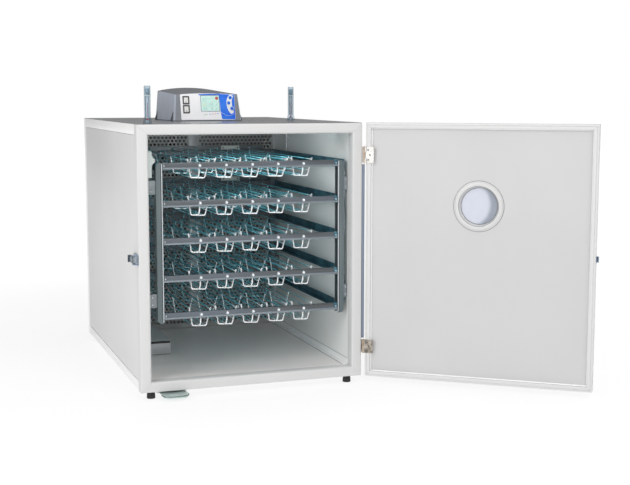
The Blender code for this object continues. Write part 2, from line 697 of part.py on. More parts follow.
def build_gearmotor():
    motor = box((INNER_LEFT, RACK_LEFT - 0.0008), MOTOR_Y, MOTOR_Z)
    bevelled(motor, 0.0020)
    cut(motor, rod_y(SHAFT_X, SHAFT_Z, MOTOR_BORE_Y, SHAFT_BORE_R, sides=16))
    settle(motor, "gearmotor", IVORY)


def build_drive_shaft():
    """The shaft with a crank and its pin at the rear end."""
    shaft = rod_y(0, 0, (SHAFT_FRONT, SHAFT_REAR), SHAFT_R, sides=16)
    fuse(shaft, box(spread(0, CRANK_HALF_W), CRANK_Y, (-CRANK_HALF_W, CRANK_R + CRANK_HALF_W)))
    fuse(shaft, rod_y(0, CRANK_R, CRANK_PIN_Y, CRANK_PIN_R, sides=8))
    shaft.location = (SHAFT_X, 0.0, SHAFT_Z)
    shaft.rotation_euler = (0.0, REST_TILT, 0.0)
    settle(smooth(shaft), "drive_shaft", ZINC)


# ---------------------------------------------------------------- partition, heating ring and fan
PARTITION_Y, PARTITION_T = 0.2388, 0.0015
HEATER_Y, HEATER_R, HEATER_WIRE_R, HEATER_LEG_R = 0.2640, 0.084, 0.004, 0.0028
HEATER_LEG_DEGREES = (90, 210, 330)

HUB_Y, HUB_R = (0.2900, 0.3300), 0.0240
HUB_BORE_Y, HUB_BORE_R = (0.3050, 0.34), 0.0065
BLADES, BLADE_Y, BLADE_PITCH = 5, 0.3080, math.radians(55)
BLADE_X, BLADE_HALF_T, BLADE_HALF_W = (0.018, 0.062), 0.0009, 0.0170


def heating_ring():
    """A ring behind the partition, on three legs."""
    bpy.ops.mesh.primitive_torus_add(
        major_radius=HEATER_R, minor_radius=HEATER_WIRE_R, major_segments=32, minor_segments=8,
    )
    element = bpy.context.object
    element.data.transform(
        Matrix.Translation((FAN_X, HEATER_Y, FAN_Z)) @ Matrix.Rotation(math.pi / 2, 4, "X")
    )
    for degrees in HEATER_LEG_DEGREES:
        x = FAN_X + HEATER_R * math.cos(math.radians(degrees))
        z = FAN_Z + HEATER_R * math.sin(math.radians(degrees))
        fuse(element, rod_y(x, z, (PARTITION_Y + 0.0008, HEATER_Y), HEATER_LEG_R, sides=8))
    return element


def build_partition():
    sheet = box((INNER_LEFT, INNER_RIGHT), (PARTITION_Y, PARTITION_Y + PARTITION_T), INNER_Z)
    fuse(sheet, heating_ring())
    settle(sheet, "fan_partition", ALU)


def build_fan():
    hub = rod_y(0, 0, HUB_Y, HUB_R, sides=24)
    for i in range(BLADES):
        blade = box(BLADE_X, spread(0, BLADE_HALF_T), spread(0, BLADE_HALF_W))
        turn = Matrix.Rotation(2 * math.pi * i / BLADES, 4, "Y")
        pitch = Matrix.Rotation(BLADE_PITCH, 4, "X")
        blade.data.transform(Matrix.Translation((0, BLADE_Y, 0)) @ turn @ pitch)
        fuse(hub, blade)
    cut(hub, rod_y(0, 0, HUB_BORE_Y, HUB_BORE_R, sides=16))
    hub.location = (FAN_X, 0.0, FAN_Z)
    settle(smooth(hub), "fan_rotor", BLACK)


# ---------------------------------------------------------------- water tray on the floor
TRAY_X, TRAY_Y, TRAY_TOP = (-0.2585, -0.1450), (-0.1025, 0.1875), 0.0640
TRAY_WALL = 0.0020


def build_water_tray():
    tray = box(TRAY_X, TRAY_Y, (SILL + GAP, TRAY_TOP))
    hollow_z = (SILL + 0.0025, TRAY_TOP + THROUGH)
    cut(tray, box(grown(TRAY_X, -TRAY_WALL), grown(TRAY_Y, -TRAY_WALL), hollow_z))
    settle(tray, "water_tray", ALU)


# ---------------------------------------------------------------- control unit on the roof
UNIT_X, UNIT_Y, UNIT_H = (-0.134, 0.050), (-0.1285, 0.1050), 0.070
UNIT_W, UNIT_MID = UNIT_X[1] - UNIT_X[0], (UNIT_X[0] + UNIT_X[1]) / 2
UNIT_WALL = 0.0030                              # also the width of the edge bevel
UNIT_TAPER = 0.93                               # width of the top over that of the base
ARCH_FRONT, ARCH_REAR, RISE = 0.0040, 0.0087, 0.0099    # the top climbs towards the rear
ARCH_STEPS = 8
FACE_TILT = math.radians(12.0)
LEAN = math.tan(FACE_TILT)
FACE_TURN = Matrix.Rotation(-FACE_TILT, 4, "X")         # turns -Y up towards +Z
FACE_NORMAL = Vector((0.0, -math.cos(FACE_TILT), math.sin(FACE_TILT)))

# name, x, z on the front face
ROCKERS = (("rocker_switch_upper", -0.0990, 0.0545), ("rocker_switch_lower", -0.0990, 0.0310))
BUTTONS = (
    ("button_up", 0.0215, 0.0610),
    ("button_set", 0.0165, 0.0470),
    ("button_down", 0.0245, 0.0325),
)
ROCK = math.radians(8.0)
ROCKER_PIN_DEPTH = 0.0030
BUTTON_R, BUTTON_TIP_R, BUTTON_HOLE_R, BUTTON_SIDES = 0.0050, 0.0045, 0.0054, 20
FACE_CUT = 0.02                                 # reach of the face cutters to each side


def housing_body(inset, floor_z):
    """A tapered block with an arched top and a front face that leans back."""
    body = box(grown(UNIT_X, -inset), grown(UNIT_Y, -inset), (0.0, UNIT_H - inset))
    work = bmesh.new()
    work.from_mesh(body.data)
    for i in range(1, ARCH_STEPS):
        x = UNIT_X[0] + inset + (UNIT_W - 2 * inset) * i / ARCH_STEPS
        bmesh.ops.bisect_plane(
            work, geom=work.verts[:] + work.edges[:] + work.faces[:],
            plane_co=(x, 0, 0), plane_no=(1, 0, 0),
        )
    for vertex in work.verts:
        at_front = vertex.co.y < 0
        if vertex.co.z > 0.001:
            share = (vertex.co.x - UNIT_MID) / (UNIT_W / 2)
            arch = 1 - share * share
            vertex.co.z += ARCH_FRONT * arch if at_front else RISE + ARCH_REAR * arch
            vertex.co.x = UNIT_MID + (vertex.co.x - UNIT_MID) * UNIT_TAPER
        else:
            vertex.co.z = floor_z
        if at_front:
            vertex.co.y += LEAN * vertex.co.z
    work.to_mesh(body.data)
    work.free()
    return body


def on_face(x, z):
    """A point on the leaning front face."""
    return Vector((x, UNIT_Y[0] + LEAN * z, z))


def build_housing():
    """A shell open below, with holes for the switches and buttons."""
    unit = housing_body(0.0, 0.0)
    bevelled(unit, UNIT_WALL)
    cut(unit, housing_body(UNIT_WALL, -0.006))
    for _, x, z in ROCKERS:
        hole = box(spread(0, 0.0070), spread(0, FACE_CUT), spread(0, 0.0090))
        hole.data.transform(Matrix.Translation(on_face(x, z)) @ FACE_TURN)
        cut(unit, hole)
    for _, x, z in BUTTONS:
        centre, reach = on_face(x, z), FACE_NORMAL * FACE_CUT
        cut(unit, rod(centre - reach, centre + reach, BUTTON_HOLE_R, BUTTON_SIDES))
    unit.location = (0.0, 0.0, ROOF_Z)
    settle(smooth(unit), "control_housing", HOUSING)


def build_rockers():
    """Each origin is on the pin, just behind the face; the lower end rests pressed in."""
    for name, x, z in ROCKERS:
        key = box(spread(0, 0.0066), spread(0, 0.0050), spread(0, 0.0084))
        key.data.transform(FACE_TURN @ Matrix.Rotation(ROCK, 4, "X"))
        key.location = on_face(x, z) - FACE_NORMAL * ROCKER_PIN_DEPTH + Vector((0, 0, ROOF_Z))
        settle(key, name, IVORY)


def build_buttons():
    for name, x, z in BUTTONS:
        inner_end, outer_end = -FACE_NORMAL * 0.0060, FACE_NORMAL * 0.0020
        button = rod(inner_end, outer_end, BUTTON_R, BUTTON_SIDES, BUTTON_TIP_R)
        button.location = on_face(x, z) + Vector((0, 0, ROOF_Z))
        settle(smooth(button), name, BLUE)


# ---------------------------------------------------------------- thermometer tubes on the roof
THERMOMETERS = (("thermometer_left", -0.2545, -0.3755), ("thermometer_right", 0.194, -0.109))
TUBE_PROFILE = (                                # radius, height; the outer side from top to bottom
    (0.0001, 0.0900), (0.0072, 0.0900), (0.0080, 0.0890), (0.0080, 0.0160),
    (0.0095, 0.0100), (0.0105, 0.0040), (0.0110, 0.0), (0.0001, 0.0),
)
TUBE_BORE_R, TUBE_BORE_TOP = 0.0062, 0.084


def build_thermometers():
    """Each tube has a bore from below that holds the bulb."""
    for name, x, y in THERMOMETERS:
        tube = turned(TUBE_PROFILE, steps=20)
        cut(tube, rod_z(0, 0, (-THROUGH, TUBE_BORE_TOP), TUBE_BORE_R))
        tube.location = (x, y, ROOF_Z)
        settle(smooth(tube), name, CLEAR)


# ---------------------------------------------------------------- the whole incubator
def build_cabinet():
    build_front_frame()
    build_bottom_panel()
    build_top_panel()
    build_left_side()
    build_right_side()
    build_back_panel()
    build_feet()


def build_door():
    axis = build_door_axis()
    build_door_frame(axis)
    build_door_panel(axis)
    build_window(axis)
    build_hinges(axis)


build_cabinet()
build_door()
build_latch_lever()
build_drip_slide()
build_rack()
build_cradles()
build_link_frame()
build_gearmotor()
build_drive_shaft()
build_partition()
build_fan()
build_water_tray()
build_housing()
build_rockers()
build_buttons()
build_thermometers()
bpy.context.view_layer.update()
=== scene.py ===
"""Looks of a cabinet egg incubator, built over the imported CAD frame.

Metres, +Z up. The cabinet is centred on X and Y with its underside at Z = 0, and its front
faces -Y. The door hangs on the right (+X) front edge and stands open. A control unit and two
thermometers stand on the roof. Inside are a rack of tilting egg cradles, a perforated
partition with a fan behind it, and a water tray.
"""

import math

import bmesh
import bpy
from mathutils import Matrix, Vector
from mathutils.geometry import tessellate_polygon


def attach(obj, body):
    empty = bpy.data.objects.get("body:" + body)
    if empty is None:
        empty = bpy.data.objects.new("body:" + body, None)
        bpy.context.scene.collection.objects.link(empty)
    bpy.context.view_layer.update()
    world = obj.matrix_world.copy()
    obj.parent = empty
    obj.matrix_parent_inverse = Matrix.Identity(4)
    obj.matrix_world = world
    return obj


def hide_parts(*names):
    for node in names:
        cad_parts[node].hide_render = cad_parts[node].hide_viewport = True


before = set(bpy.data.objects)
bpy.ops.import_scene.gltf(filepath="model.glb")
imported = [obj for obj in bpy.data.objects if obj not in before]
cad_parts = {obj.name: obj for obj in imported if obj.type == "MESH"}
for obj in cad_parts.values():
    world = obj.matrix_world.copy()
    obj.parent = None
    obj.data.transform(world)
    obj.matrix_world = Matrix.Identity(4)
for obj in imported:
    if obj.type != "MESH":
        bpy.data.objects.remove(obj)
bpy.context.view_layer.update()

# ---------------------------------------------------------------- shared dimensions
GAP = 0.0003  # clearance between neighbouring pieces

# cabinet
WIDTH, DEPTH, HEIGHT = 0.574, 0.803, 0.650
WALL, FRAME_DEPTH, SILL = 0.026, 0.030, 0.025
LEFT, RIGHT, FRONT, REAR = -WIDTH / 2, WIDTH / 2, -DEPTH / 2, DEPTH / 2
IN_LEFT, IN_RIGHT, BACK_IN, CEILING = LEFT + WALL, RIGHT - WALL, REAR - WALL, HEIGHT - WALL
WALL_Y0, WALL_Y1 = FRONT + FRAME_DEPTH + GAP, BACK_IN - GAP
ROOF_TOP = HEIGHT + GAP

# door, drawn closed in a frame whose origin is the hinge axis
HINGE_X, HINGE_Y = RIGHT + 0.0040, FRONT - 0.0035
DOOR_X0, DOOR_X1 = LEFT - HINGE_X, RIGHT - HINGE_X
DOOR_CENTRE = (DOOR_X0 + DOOR_X1) / 2
DOOR_RIM, DOOR_THICK, DOOR_OPEN = 0.0130, 0.026, math.radians(142.4)
DOOR_IN = FRONT - 0.003 - HINGE_Y
DOOR_OUT = DOOR_IN - DOOR_THICK
LEAF_IN = DOOR_IN - 0.010
LEAF_OUT = LEAF_IN - 0.014
WINDOW_Z = 0.446
WINDOW_AT = (DOOR_CENTRE, (LEAF_IN + LEAF_OUT) / 2, WINDOW_Z)
DOOR = Matrix.Translation((HINGE_X, HINGE_Y, 0.0)) @ Matrix.Rotation(DOOR_OPEN, 4, "Z")

# latch and the slide under the floor
LATCH_X, LATCH_Y, LATCH_Z = LEFT - 0.0095, -0.3900, 0.3255
SLIDE_X0, SLIDE_X1 = -0.2370, -0.1710

# rack, cradles and their tilting gear
RACK_X, RACK_HALF = 0.0065, 0.2428
RACK_LEFT, RACK_RIGHT = RACK_X - RACK_HALF, RACK_X + RACK_HALF
RACK_FRONT, RACK_REAR, RACK_Z0, RACK_Z1 = -0.3720, 0.2290, 0.1625, 0.5560
COLUMN_PITCH = 0.0668
LEVELS = [0.180 + i * 0.092 for i in range(5)]
COLUMNS = [RACK_X + (i - 2) * COLUMN_PITCH for i in range(5)]
CRANK_R = 0.015
TILT = math.radians(3.0)
LINK_SHIFT = TILT / 74.0  # sideways travel of the link at this tilt
LINK_Y, LINK_T = 0.2206, 0.0028
SHAFT_X, SHAFT_Z = -0.2445, 0.575

# partition and fan
PART_Y = 0.2388
FAN_X, FAN_Z = -0.055, 0.535

# control unit, in a frame that stands on the roof
UNIT_X0, UNIT_X1, UNIT_Y0, UNIT_Y1, UNIT_H = -0.134, 0.050, -0.1285, 0.1050, 0.070
UNIT_MID, UNIT_HALF = (UNIT_X0 + UNIT_X1) / 2, (UNIT_X1 - UNIT_X0) / 2
ARCH_FRONT, ARCH_REAR, RISE = 0.0040, 0.0087, 0.0099
LEAN = math.radians(12.0)
UNIT = Matrix.Translation((0, 0, ROOF_TOP))
# the leaning front face: x across, z up the slope, -y towards the viewer
FACE = UNIT @ Matrix.Translation((0, UNIT_Y0, 0)) @ Matrix.Rotation(-LEAN, 4, "X")

STAGE_Z = -0.0200  # underside of the feet


# ---------------------------------------------------------------- shader nodes
def feed(tree, target, inputs):
    """Sets a node's inputs; a socket is linked and anything else is stored as a value."""
    for key, value in inputs.items():
        if isinstance(value, bpy.types.NodeSocket):
            tree.links.new(value, target.inputs[key])
        else:
            target.inputs[key].default_value = value


def node(tree, kind, inputs={}, output=0, **settings):
    """Makes a shader node and returns one of its outputs."""
    made = tree.nodes.new("ShaderNode" + kind)
    for key, value in settings.items():
        setattr(made, key, value)
    feed(tree, made, inputs)
    return made.outputs[output]


def object_coords(tree):
    return node(tree, "TexCoord", output="Object")


def noise(tree, vector, scale, detail=2.0):
    inputs = {"Scale": scale, "Detail": detail, "Vector": vector}
    return node(tree, "TexNoise", inputs, "Fac")


def spread(tree, value, low, high, out_low=0.0, out_high=1.0, **settings):
    """Maps low..high to out_low..out_high."""
    limits = {"From Min": low, "From Max": high, "To Min": out_low, "To Max": out_high}
    return node(tree, "MapRange", {"Value": value, **limits}, "Result", **settings)


def mixed(tree, factor, first, second):
    """Mixes two colours, each an RGB tuple or a socket."""
    first, second = ((*c, 1.0) if isinstance(c, tuple) else c for c in (first, second))
    return node(tree, "Mix", {0: factor, 6: first, 7: second}, 2, data_type="RGBA")


def new_material(name):
    mat = bpy.data.materials.new(name)
    mat.use_nodes = True
    return mat, mat.node_tree, mat.node_tree.nodes["Principled BSDF"]


def set_surface(tree, shader):
    feed(tree, tree.nodes["Material Output"], {"Surface": shader})


def finish(
    name, base, rough=0.4, metal=0.0, spec=0.5, coat=0.0, glow=0.0, edge=0.0,
    vary=0.05, scale=14.0, stretch=(1, 1, 1), other=None, other_scale=6.0,
    grain=0.15, grain_scale=900.0, grain_stretch=(1, 1, 1), grain_depth=0.00015, rough_vary=0.08,
    specks=0.0, speck_scale=150.0, speck_colour=(0.05, 0.05, 0.05),
):
    """A procedural opaque finish.

    vary, scale, stretch: strength, size and direction of the slow colour drift
    other, other_scale: a second tone in patches; specks: strength of small dots
    edge: how much the edges are lightened; glow: emission strength
    grain: strength of the fine bump, which also varies the roughness by rough_vary
    """
    mat, tree, shader = new_material(name)
    coords = object_coords(tree)

    def mapped(factors):
        if factors == (1, 1, 1):
            return coords
        return node(tree, "Mapping", {"Scale": factors, "Vector": coords})

    drift = noise(tree, mapped(stretch), scale, 4.0)
    low = tuple(max(0.0, c * (1 - vary)) for c in base)
    high = tuple(min(1.0, c * (1 + vary)) for c in base)
    colour = mixed(tree, spread(tree, drift, 0.3, 0.7), low, high)
    if other is not None:
        patches = noise(tree, mapped(stretch), other_scale)
        colour = mixed(tree, spread(tree, patches, 0.42, 0.62), colour, other)
    if specks:
        dots = node(tree, "TexVoronoi", {"Scale": speck_scale, "Vector": coords}, "Distance")
        colour = mixed(tree, spread(tree, dots, 0.10, 0.16, specks, 0.0), colour, speck_colour)
    if edge:
        # sharp convex edges are drawn lighter
        edge_sharpness = node(tree, "NewGeometry", output="Pointiness")
        light = tuple(min(1.0, c * 1.25 + 0.06) for c in base)
        colour = mixed(tree, spread(tree, edge_sharpness, 0.50, 0.60, 0.0, edge), colour, light)
    fine = noise(tree, mapped(grain_stretch), grain_scale, 3.0)
    smooth, coarse = max(0.02, rough - rough_vary), min(1.0, rough + rough_vary)
    feed(tree, shader, {
        "Base Color": colour, "Metallic": metal, "Specular IOR Level": spec,
        "Roughness": spread(tree, fine, 0.3, 0.7, smooth, coarse),
    })
    if coat:
        feed(tree, shader, {"Coat Weight": coat, "Coat Roughness": 0.18})
    if grain:
        bump = {"Strength": grain, "Distance": grain_depth, "Height": fine}
        feed(tree, shader, {"Normal": node(tree, "Bump", bump, "Normal")})
    if glow:
        feed(tree, shader, {"Emission Color": colour, "Emission Strength": glow})
    mat.diffuse_color = (*base, 1.0)
    return mat


def clear_finish(name, tint, passing, opacity, rough, streak, rim, power):
    """A thin clear wall: tinted gloss over a see-through layer coloured by passing.

    rim and power make glancing views more opaque, streak adds faint clouds.
    """
    mat, tree, shader = new_material(name)
    feed(tree, shader, {"Base Color": (*tint, 1.0), "Roughness": rough})
    cloud = noise(tree, object_coords(tree), 45.0)
    glance = node(tree, "LayerWeight", {"Blend": 0.35}, "Facing")
    steep = node(tree, "Math", {0: glance, 1: power}, operation="POWER")
    total = node(tree, "Math", {0: steep, 1: rim, 2: opacity}, operation="MULTIPLY_ADD")
    more = node(tree, "Math", {0: cloud, 1: streak, 2: total}, operation="MULTIPLY_ADD")
    through = node(tree, "BsdfTransparent", {"Color": (*passing, 1.0)})
    set_surface(tree, node(tree, "MixShader", {0: more, 1: through, 2: shader.outputs[0]}))
    mat.diffuse_color = (*tint, 0.4)
    return mat


# ---------------------------------------------------------------- painted panels and rubber
PAINT = dict(
    rough=0.36, vary=0.012, scale=9.0, grain=0.10, grain_scale=700.0, rough_vary=0.05, coat=0.10,
    edge=0.2,
)
# the front frame, door rim and porthole bezel take a darker copy of the white profile paint than the
# side profiles: painted shade on the front
WHITE = finish("white_lacquer_front_shade", (0.565, 0.565, 0.562), **PAINT)
SIDE_WHITE = finish("white_side_profile", (0.80, 0.80, 0.795), **PAINT)
PANEL = dict(
    rough=0.42, vary=0.02, scale=5.0, grain=0.16, grain_scale=1300.0, rough_vary=0.06, coat=0.05,
)
FIELD = finish("pale_grey_field", (0.63, 0.63, 0.628), **PANEL)
DOOR_FIELD = finish("pale_door_leaf", (0.520, 0.520, 0.518), **PANEL)
LINER = dict(scale=4.0, grain=0.12, rough_vary=0.06)
LINING = finish("pale_lining", (0.85, 0.855, 0.84), rough=0.34, vary=0.025, coat=0.08, **LINER)
FLOOR_GREY = finish("floor_lining", (0.84, 0.812, 0.790), vary=0.03, coat=0.05, **LINER)
# a dark grey for the back wall's inner face: painted shade behind the partition
BACK_SHADE = finish("back_wall_painted_shade", (0.15, 0.16, 0.165), rough=0.55, vary=0.10, scale=6.0)
ROOF = finish(
    "grey_roof_sheet", (0.170, 0.173, 0.180), rough=0.30, vary=0.10, scale=7.0, grain=0.14,
    grain_scale=1100.0, rough_vary=0.07, coat=0.2, specks=0.25, speck_scale=420.0,
    speck_colour=(0.42, 0.43, 0.44),
)
RUBBER = finish(
    "black_rubber", (0.018, 0.018, 0.019), rough=0.72, vary=0.25, scale=60.0, grain=0.35,
    grain_scale=1800.0, specks=0.35, speck_scale=700.0, speck_colour=(0.06, 0.06, 0.06),
)

# ---------------------------------------------------------------- metals
ROLLED = dict(grain=0.35, grain_scale=1500.0, rough_vary=0.12)
GALV = finish(
    "zinc_channel", (0.150, 0.182, 0.192), metal=0.75, vary=0.14, scale=30.0,
    stretch=(1, 1, 0.12), other=(0.105, 0.142, 0.155), other_scale=16.0,
    grain_stretch=(1, 1, 0.03), edge=0.3, specks=0.40, speck_colour=(0.30, 0.345, 0.36), **ROLLED,
)
BAR = finish(
    "zinc_bar_face", (0.098, 0.108, 0.116), rough=0.42, metal=0.7, vary=0.16, scale=40.0,
    stretch=(0.10, 1, 1), other=(0.14, 0.165, 0.20), other_scale=22.0,
    grain_stretch=(0.02, 1, 1), edge=0.4, specks=0.45, speck_colour=(0.22, 0.245, 0.262),
    **ROLLED,
)
# a lighter copy of the bars' zinc for their lower lip: painted highlight along the lower edge
BAR_LIP_HIGHLIGHT = finish(
    "bar_lip_painted_highlight", (0.160, 0.188, 0.210), metal=0.35, vary=0.12, scale=40.0,
    stretch=(0.10, 1, 1), grain=0.30, grain_scale=1500.0, grain_stretch=(0.02, 1, 1),
    rough_vary=0.10,
)
LINK_GREY = finish(
    "grey_link", (0.105, 0.125, 0.135), rough=0.42, metal=0.6, vary=0.16, scale=30.0,
    stretch=(0.1, 1, 1), other=(0.075, 0.105, 0.120), other_scale=18.0, grain=0.3,
    grain_scale=1500.0, grain_stretch=(0.03, 1, 1), edge=0.4,
)
TEAL = finish(
    "blue_zinc", (0.040, 0.118, 0.160), rough=0.30, metal=0.45, vary=0.22, scale=28.0,
    other=(0.075, 0.195, 0.250), other_scale=20.0, grain=0.2, grain_scale=1200.0,
    rough_vary=0.10,
)
BRIGHT = finish(
    "bright_zinc", (0.54, 0.59, 0.62), rough=0.24, metal=0.7, vary=0.08, scale=60.0,
    grain_scale=1600.0,
)
EDGE = finish(
    "cut_zinc_edge", (0.70, 0.74, 0.765), rough=0.30, metal=0.1, vary=0.06, scale=40.0,
    stretch=(1, 1, 0.1), grain_scale=1600.0, rough_vary=0.06,
)
# a light zinc for the front posts' rolled edge: painted highlight
POST_HIGHLIGHT = finish(
    "rolled_edge_painted_highlight", (0.50, 0.54, 0.565), rough=0.34, metal=0.2, vary=0.12, scale=40.0,
    stretch=(1, 1, 0.1), grain=0.2, grain_scale=1600.0,
)
BRACKET = finish(
    "bracket_zinc", (0.235, 0.262, 0.275), metal=0.35, vary=0.12, scale=40.0,
    other=(0.17, 0.20, 0.215), other_scale=30.0, grain=0.3, grain_scale=1600.0, edge=0.3,
)
NICKEL = finish(
    "nickel_plate", (0.80, 0.785, 0.75), rough=0.28, metal=0.5, vary=0.08, scale=50.0,
    other=(0.70, 0.67, 0.62), other_scale=34.0, grain=0.2, grain_scale=1500.0,
    rough_vary=0.09, edge=0.3,
)
STRIP = finish(
    "blue_grey_strip", (0.21, 0.25, 0.32), rough=0.42, metal=0.2, vary=0.08, scale=20.0,
    stretch=(1, 1, 0.1), grain=0.2, grain_scale=1500.0,
)
WORN = finish(
    "worn_nickel", (0.40, 0.36, 0.31), rough=0.34, metal=0.7, vary=0.30, scale=110.0,
    other=(0.15, 0.12, 0.09), other_scale=150.0, grain=0.3, grain_scale=1500.0,
    rough_vary=0.12, edge=0.3,
)
LATCH_METAL = dict(scale=90.0, grain=0.2, grain_scale=1800.0, edge=0.4)
LATCH_DARK = finish(
    "blued_steel", (0.050, 0.070, 0.095), rough=0.32, metal=0.5, vary=0.25,
    other=(0.12, 0.16, 0.20), other_scale=120.0, **LATCH_METAL,
)
STRIKE = finish(
    "strike_zinc", (0.20, 0.27, 0.36), rough=0.28, metal=0.7, vary=0.2, **LATCH_METAL,
)
BRONZE = finish(
    "aged_knuckle", (0.42, 0.31, 0.22), rough=0.34, metal=0.85, vary=0.25, scale=80.0,
    other=(0.62, 0.52, 0.42), other_scale=60.0, grain=0.25, grain_scale=1500.0,
    rough_vary=0.12,
)
STEEL = finish(
    "screw_steel", (0.10, 0.10, 0.105), metal=0.5, vary=0.2, scale=300.0, grain=0.2,
    grain_scale=2500.0, rough_vary=0.1,
)
ALU = finish(
    "mill_aluminium", (0.46, 0.47, 0.48), rough=0.42, metal=0.45, vary=0.07, scale=18.0,
    stretch=(1, 0.2, 1), grain=0.3, grain_scale=1300.0, grain_stretch=(1, 0.04, 1),
    rough_vary=0.10, edge=0.35,
)
COVER = finish(
    "tray_cover", (0.62, 0.64, 0.645), rough=0.38, metal=0.15, scale=20.0, grain=0.2,
    grain_scale=1400.0, edge=0.2,
)
SHEET = finish(
    "perforated_sheet", (0.37, 0.375, 0.37), rough=0.45, metal=0.25, vary=0.10, scale=9.0,
    grain=0.2, grain_scale=1500.0, rough_vary=0.1, edge=0.2,
)

# ---------------------------------------------------------------- control unit finishes
ABS = dict(scale=20.0, grain=0.45, grain_scale=2600.0, grain_depth=0.0001, rough_vary=0.06)
ABS_SIDE = finish("grey_abs_body", (0.365, 0.398, 0.462), rough=0.50, **ABS)
# darker copies of the case grey: the front and the top in painted shade; the top's copy also colours
# the seam at the foot
ABS_FRONT_SHADE = finish("abs_front_painted_shade", (0.176, 0.192, 0.216), rough=0.48, **ABS)
ABS_SHADE_AND_SEAM = finish("abs_top_shade_and_seam", (0.120, 0.128, 0.142), rough=0.46, vary=0.06, **ABS)
LUG = finish(
    "dark_lug", (0.060, 0.065, 0.075), rough=0.5, vary=0.08, scale=60.0, grain=0.3,
    grain_scale=2600.0,
)
PRINT = dict(spec=0.12, grain_scale=2200.0)
PLATE = finish(
    "printed_plate", (0.80, 0.805, 0.82), rough=0.34, vary=0.015, scale=30.0, grain=0.12,
    rough_vary=0.04, **PRINT,
)
PRINT_BLUE = finish(
    "printed_blue", (0.012, 0.115, 0.66), rough=0.30, vary=0.10, scale=26.0,
    other=(0.03, 0.19, 0.78), other_scale=18.0, grain=0.12, rough_vary=0.04, **PRINT,
)
PRINT_PALE = finish("printed_pale", (0.74, 0.76, 0.80), rough=0.32, vary=0.02, grain=0.1, **PRINT)
BUTTON = finish(
    "blue_keycap", (0.015, 0.14, 0.62), spec=0.12, rough=0.26, vary=0.12, scale=120.0,
    grain_scale=2400.0, coat=0.3,
)
MINT = finish(
    "lcd_field", (0.36, 0.53, 0.48), spec=0.12, rough=0.18, vary=0.07, scale=60.0, grain=0.0,
    rough_vary=0.03, coat=0.4, glow=0.42,
)
LCD = dict(spec=0.12, rough=0.3, vary=0.15, scale=200.0, grain=0.0)
LCD_INK = finish("lcd_segments", (0.10, 0.27, 0.26), glow=0.05, **LCD)
LCD_RED = finish("lcd_mark", (0.38, 0.10, 0.08), glow=0.15, **LCD)
LCD_AMBER = finish("lcd_amber", (0.60, 0.50, 0.16), glow=0.15, **LCD)
LCD_FRAME = finish(
    "lcd_frame", (0.055, 0.10, 0.20), rough=0.25, vary=0.1, scale=90.0, grain=0.1, **PRINT,
)
INK = dict(rough=0.35, vary=0.1, scale=200.0, grain=0.05)
INK_GREEN = finish("ink_green", (0.05, 0.42, 0.16), **INK)
INK_RED = finish("ink_red", (0.62, 0.06, 0.05), **INK)
BEZEL = finish(
    "black_bezel", (0.012, 0.012, 0.013), rough=0.32, vary=0.2, scale=120.0, grain=0.25,
    grain_scale=2600.0,
)
KEY = finish(
    "white_rocker", (0.80, 0.80, 0.78), rough=0.30, vary=0.02, scale=80.0, grain=0.12,
    grain_scale=2400.0, coat=0.2,
)
KEY_MARK = finish("rocker_mark", (0.35, 0.36, 0.38), scale=80.0, grain=0.05)

# ---------------------------------------------------------------- machinery and trim finishes
MOTOR = finish(
    "motor_housing", (0.56, 0.62, 0.60), rough=0.42, vary=0.04, scale=24.0, grain=0.3,
    grain_scale=1900.0, coat=0.05,
)
MOTOR_RIB = finish("motor_seam", (0.30, 0.34, 0.34), rough=0.5, vary=0.08, scale=60.0, grain=0.2)
FAN = finish(
    "black_fan", (0.022, 0.022, 0.024), rough=0.38, vary=0.2, scale=50.0, grain=0.25,
    grain_scale=2000.0,
)
ELEMENT = finish(
    "heater_sheath", (0.20, 0.17, 0.15), rough=0.42, metal=0.8, vary=0.3, scale=40.0,
    other=(0.10, 0.09, 0.10), other_scale=30.0, grain=0.3, grain_scale=1500.0,
)
TAB = finish(
    "pale_tab", (0.50, 0.595, 0.570), rough=0.30, vary=0.04, scale=40.0, grain=0.12,
    grain_scale=1700.0, coat=0.25,
)
# a darker copy of the tab's colour for its rim: painted shade along the edge
TAB_RIM_SHADE = finish(
    "tab_rim_painted_shade", (0.13, 0.175, 0.165), rough=0.26, vary=0.03, scale=40.0, grain=0.1, coat=0.3,
)
TRIM = finish("white_trim", (0.90, 0.90, 0.895), vary=0.015, grain=0.1)
SCALE_WHITE = finish(
    "scale_card", (0.80, 0.81, 0.81), rough=0.5, vary=0.02, scale=80.0, grain=0.1,
    grain_scale=1800.0,
)
SEAM = finish("shadow_seam", (0.20, 0.205, 0.21), rough=0.6, vary=0.1, scale=60.0, grain=0.1)
SPIRIT = finish(
    "spirit_red", (0.42, 0.03, 0.03), rough=0.2, vary=0.1, scale=80.0, grain=0.0, coat=0.5,
)
SCALE_INK = finish("scale_ink", (0.05, 0.05, 0.06), rough=0.5, vary=0.1, scale=80.0, grain=0.0)
PANE_TINT = (0.80, 0.83, 0.91)
PANE = clear_finish(
    "window_pane", PANE_TINT, passing=(0.70, 0.715, 0.76), opacity=0.42, rough=0.05,
    streak=0.06, rim=0.55, power=1.0,
)


def paint_pane_shade():
    """Paints a darker crescent of shade onto the pane, on the side away from the hinges."""
    tree = PANE.node_tree
    lit_centre = DOOR @ Vector((DOOR_CENTRE + 0.0300, LEAF_IN - 0.007, WINDOW_Z + 0.004))
    ends = {0: object_coords(tree), 1: lit_centre}
    away = node(tree, "VectorMath", ends, "Value", operation="DISTANCE")
    soft = spread(tree, away, 0.0500, 0.0640, interpolation_type="SMOOTHSTEP")
    shader = tree.nodes["Principled BSDF"]
    feed(tree, shader, {"Base Color": mixed(tree, soft, PANE_TINT, (0.31, 0.35, 0.41))})


